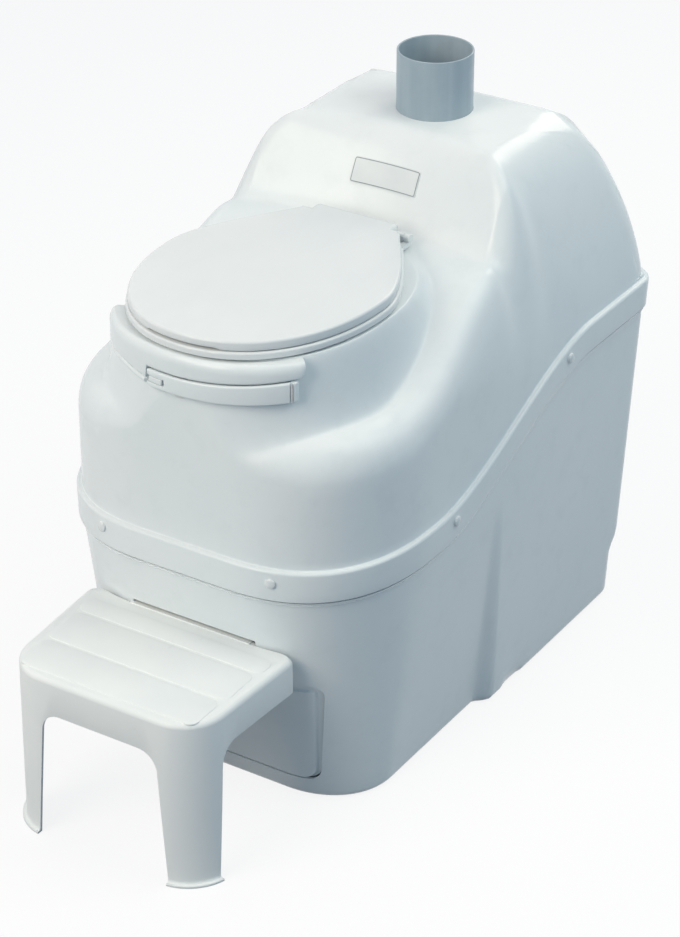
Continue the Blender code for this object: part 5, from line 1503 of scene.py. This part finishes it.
def make_step(finish):
    """The moulded step: tread pads, arches, splayed legs, foot lips, and a tongue at the rear."""
    top, lip = step_height, foot_lip_height
    foot = step_splay + foot_lip
    levels = [(foot - step_foot_edge, 0.0), (foot, step_foot_edge),
              (foot, lip - step_soft_edge), (foot - step_soft_edge, lip)]
    levels += [(step_splay + foot_lip * foot_cove_share * fall, lip + lip * foot_cove_rise * rise)
               for rise, fall in quarter(6)]
    leg_low = lip * (1.0 + foot_cove_rise)
    levels += [(step_splay * (1.0 - share), mixed(leg_low, top - step_edge, share))
               for share in shares(4, 1)[:-1]]
    levels += [(-step_edge * rise, top - step_edge * fall) for rise, fall in quarter(9)]
    hollow = [(step_splay - step_wall, -cut_overrun), (-step_wall, top - step_edge),
              (-step_wall * hollow_bend[0], top - step_wall * hollow_bend[1]),
              (-step_wall * 2.0, top - step_wall)]
    step, inside = (loft(name, [[(x, y, z) for x, y in step_outline(grow)] for grow, z in form],
                         finish) for name, form in (("foot_step", levels), ("inside", hollow)))
    cut(step, inside)
    front_arch = arch(step_leg_front_foot, step_leg_front_top, step_front_arch, step_arch_round)
    cut(step, prism("front_arch", front_arch, step_front_y - cut_overrun * 2.0,
                    step_front_y + step_corner + cut_overrun, "Y", finish))
    leg_front = step_front_y + step_leg_side_top
    behind = step_rear_y + cut_overrun * 2.0
    side_arch = [(step_front_y + step_leg_side_foot, -cut_overrun)]
    side_arch += [(leg_front + step_arch_round * rise, step_side_arch - step_arch_round * fall)
                  for rise, fall in quarter(14)]
    side_arch += [(behind, step_side_arch), (behind, -cut_overrun)]
    cut(step, prism("side_arch", side_arch, -step_half_width - cut_overrun * 2.0,
                    step_half_width + cut_overrun * 2.0, "X", finish))
    room_x, room_front = step_half_width - step_wall * 2.0, step_rear_y - step_wall * 2.0
    room_rear = step_rear_y + cut_overrun
    cut(step, prism("open_back", [(-room_x, room_front), (room_x, room_front), (room_x, room_rear),
                                  (-room_x, room_rear)], 0.0, top - step_wall * 2.0, "Z", finish))
    for front, rear in zip(pad_edges, pad_edges[1:]):
        near, far = front + pad_gap / 2.0, rear - pad_gap / 2.0
        reach = step_half_width * flared(near) - pad_side_margin
        pad = prism("pad", rounded_rectangle((-reach, near), (reach, far), pad_corner, 8),
                    top - step_wall * 0.5, top + pad_rise, "Z", finish)
        joined(step, softened(pad, pad_rise * pad_edge_share))
    for vertex in step.data.vertices:
        vertex.co.z += step_rear_lift * eased(step_share(vertex.co.y)) * eased(vertex.co.z / top)
    tongue_low = slot_bottom + fit_gap
    tongue_x = slot_half_width - tongue_inset
    tongue = rounded_rectangle((-tongue_x, step_rear_y - tongue_web * tongue_lap),
                               (tongue_x, step_rear_y + tongue_reach), tongue_corner)
    behind = step_rear_y + tongue_web
    web_top = tongue_low + tongue_thickness * 0.5
    sweep = [(behind, top - step_wall), (step_rear_y - sweep_length, top - step_wall)]
    sweep += [(step_rear_y - sweep_length * (1.0 - share),
               mixed(top + step_rear_lift * sweep_top_share, web_top, share ** 2))
              for share in shares(sweep_steps)]
    sweep += [(behind, web_top)]
    web = prism("web", sweep, -tongue_x, tongue_x, "X", finish)
    joined(web, prism("tongue", tongue, tongue_low, tongue_low + tongue_thickness, "Z", finish))
    joined(step, web)
    step.data.transform(Matrix.Translation((step_shift, 0.0, 0.0)))
    return dressed(softened(step, step_soft_edge, lid_crease), "step", "step_plastic", "step")


# Finishes


def linear(colour):
    """A pale colour given as display values from 0 to 255, as the shader wants it."""
    return tuple(((value / 255.0 + 0.055) / 1.055) ** 2.4 for value in colour)


class Finish:
    """A material whose colour, roughness and bump come from layered noise in object space."""

    def __init__(self, name, roughness, metallic):
        self.material = bpy.data.materials.new(name)
        self.material.use_nodes = True
        self.tree = self.material.node_tree
        self.shader = self.tree.nodes["Principled BSDF"]
        self.shader.inputs["Roughness"].default_value = roughness
        self.shader.inputs["Metallic"].default_value = metallic
        self.shader.inputs["Specular IOR Level"].default_value = plain_sheen
        self.place = self.tree.nodes.new("ShaderNodeTexCoord").outputs["Object"]

    def added(self, kind, values, sources):
        """A new node with its values set and its inputs joined to their sources."""
        node = self.tree.nodes.new(kind)
        for socket, value in values.items():
            node.inputs[socket].default_value = value
        for socket, source in sources.items():
            self.tree.links.new(source, node.inputs[socket])
        return node

    def noise(self, scale, detail, stretch=None, roughness=0.5):
        place = self.place
        if stretch:
            mapping = self.added("ShaderNodeMapping", {"Scale": stretch}, {"Vector": place})
            place = mapping.outputs["Vector"]
        values = {"Scale": scale, "Detail": detail, "Roughness": roughness}
        return self.added("ShaderNodeTexNoise", values, {"Vector": place}).outputs["Fac"]

    def cells(self, scale):
        return self.added("ShaderNodeTexVoronoi", {"Scale": scale},
                          {"Vector": self.place}).outputs["Distance"]

    def ranged(self, value, low, high, from_low=0.35, from_high=0.65):
        values = {"From Min": from_low, "From Max": from_high, "To Min": low, "To Max": high}
        return self.added("ShaderNodeMapRange", values, {"Value": value}).outputs["Result"]

    def blend(self, share, first, second):
        """One colour or the other, by the share; a colour is three numbers or a socket."""
        node = self.tree.nodes.new("ShaderNodeMix")
        node.data_type = "RGBA"
        self.tree.links.new(share, node.inputs["Factor"])
        for socket, colour in ((node.inputs[6], first), (node.inputs[7], second)):
            if isinstance(colour, tuple):
                socket.default_value = (*colour, 1.0)
            else:
                self.tree.links.new(colour, socket)
        return node.outputs[2]

    def bumped(self, height, depth, strength, normal):
        """A layer of bumps, on top of an earlier one where there is one."""
        sources = {"Height": height}
        if normal is not None:
            sources["Normal"] = normal
        return self.added("ShaderNodeBump", {"Distance": depth, "Strength": strength},
                          sources).outputs["Normal"]


def made_finish(name, roughness, metallic, tone, light, dark, film, film_colour, gloss, *bumps):
    """Two tones in soft patches, a thin film over them, uneven gloss and layers of bumps."""
    look = Finish(name, roughness, metallic)
    base = look.blend(look.ranged(look.noise(*tone), 0.0, 1.0), linear(light), linear(dark))
    if film:
        noise, *limits = film
        base = look.blend(look.ranged(look.noise(*noise), 0.0, *limits), base, linear(film_colour))
    noise, low, high = gloss
    normal = None
    for pattern, depth, strength in bumps:
        height = look.noise(*pattern) if len(pattern) > 1 else look.cells(*pattern)
        normal = look.bumped(height, depth, strength, normal)
    for socket, source in (("Base Color", base), ("Normal", normal),
                           ("Roughness", look.ranged(look.noise(*noise), low, high))):
        look.tree.links.new(source, look.shader.inputs[socket])
    return look.material


# Stage


def seen_white(tree, shader_output, shaded_share=0.0):
    """The shader, but white with a share of shadow where it is looked at."""
    links = tree.links

    def mixed_shader(share, first, second):
        mix = tree.nodes.new("ShaderNodeMixShader")
        if isinstance(share, float):
            mix.inputs[0].default_value = share
        else:
            links.new(share, mix.inputs[0])
        links.new(first, mix.inputs[1])
        links.new(second, mix.inputs[2])
        return mix.outputs[0]

    glow = tree.nodes.new("ShaderNodeEmission")
    glow.inputs["Color"].default_value = (1.0, 1.0, 1.0, 1.0)
    glow.inputs["Strength"].default_value = 1.0
    path = tree.nodes.new("ShaderNodeLightPath")
    looked_at = path.outputs["Is Camera Ray"]
    for ray in ("Is Glossy Ray", "Is Transmission Ray"):
        either = tree.nodes.new("ShaderNodeMath")
        either.operation = "MAXIMUM"
        links.new(looked_at, either.inputs[0])
        links.new(path.outputs[ray], either.inputs[1])
        looked_at = either.outputs[0]
    seen = glow.outputs[0]
    if shaded_share > 0.0:
        chalk = tree.nodes.new("ShaderNodeBsdfDiffuse")
        chalk.inputs["Color"].default_value = chalk_colour
        seen = mixed_shader(shaded_share, seen, chalk.outputs[0])
    return mixed_shader(looked_at, shader_output, seen)


def make_floor():
    """A plain pale floor, white where it is looked at, that keeps the object's shadow."""
    corners = [(-floor_half, -floor_half, 0.0), (floor_half, -floor_half, 0.0),
               (floor_half, floor_half, 0.0), (-floor_half, floor_half, 0.0)]
    material = bpy.data.materials.new("floor")
    material.use_nodes = True
    tree = material.node_tree
    shader = tree.nodes["Principled BSDF"]
    shader.inputs["Base Color"].default_value = floor_colour
    shader.inputs["Roughness"].default_value = floor_roughness
    shader.inputs["Specular IOR Level"].default_value = floor_sheen
    tree.links.new(seen_white(tree, shader.outputs[0], shadow_share),
                   tree.nodes["Material Output"].inputs["Surface"])
    floor = piece_from("floor", corners, [(0, 1, 2, 3)], material)


def make_lights():
    """A blue surround, and large lamps above, in front, at both sides and behind."""
    scene = bpy.context.scene
    scene.world = bpy.data.worlds.new("studio")
    scene.world.use_nodes = True
    tree = scene.world.node_tree
    background = tree.nodes["Background"]
    background.inputs["Color"].default_value = sky_colour
    background.inputs["Strength"].default_value = sky_strength
    tree.links.new(seen_white(tree, background.outputs[0]),
                   tree.nodes["World Output"].inputs["Surface"])
    for name, place, size, power, colour in lamps:
        lamp = bpy.data.lights.new(name, "AREA")
        lamp.shape = "SQUARE"
        lamp.size = size
        lamp.energy = power
        lamp.color = colour
        item = bpy.data.objects.new(name, lamp)
        item.location = place
        item.rotation_euler = (Vector(lamp_aim) - Vector(place)).to_track_quat("-Z", "Y").to_euler()
        scene.collection.objects.link(item)


def make_camera():
    """The photograph's view, worked out from its parallel edges."""
    azimuth, pitch, roll = camera_turns
    lens = bpy.data.cameras.new("camera")
    lens.sensor_width = camera_sensor
    lens.lens = focal_pixels / image_height * camera_sensor
    lens.clip_end = camera_clip_end
    across = Vector((math.cos(azimuth), math.sin(azimuth), 0.0))
    ahead = Vector((-math.sin(azimuth) * math.cos(pitch), math.cos(azimuth) * math.cos(pitch),
                    -math.sin(pitch)))
    axes = Matrix((across, across.cross(ahead), -ahead)).transposed().to_4x4()
    camera = bpy.data.objects.new("camera", lens)
    camera.matrix_world = Matrix.Translation(camera_place) @ axes @ Matrix.Rotation(roll, 4, "Z")
    scene = bpy.context.scene
    scene.collection.objects.link(camera)
    scene.camera = camera
    scene.view_settings.view_transform = "Standard"


def main():
    finishes = {row[0]: made_finish(*row) for row in finish_rows}
    slots = {part["node"]: part["material_slot"] for part in frame["record"]["subparts"]}
    for name, node in nodes.items():
        node.data.materials.clear()
        node.data.materials.append(finishes[slots[name]])
    make_lower_shell(finishes["gelcoat"])
    make_upper_shell(finishes["gelcoat"])
    make_flange_screws(finishes["seat_plastic"])
    make_vent_pipe(finishes["pipe_plastic"])
    make_badge_plate(finishes["badge_finish"], finishes["border_finish"])
    make_seat_ring(finishes["seat_plastic"])
    make_seat_lid(finishes["seat_plastic"])
    make_front_lip(finishes["gelcoat"])
    make_crank(finishes["gelcoat"], finishes["steel"])
    make_drum_lock(finishes["gelcoat"])
    make_drawer_front(finishes["gelcoat"])
    make_step(finishes["step_plastic"])
    make_floor()
    make_lights()
    make_camera()


main()
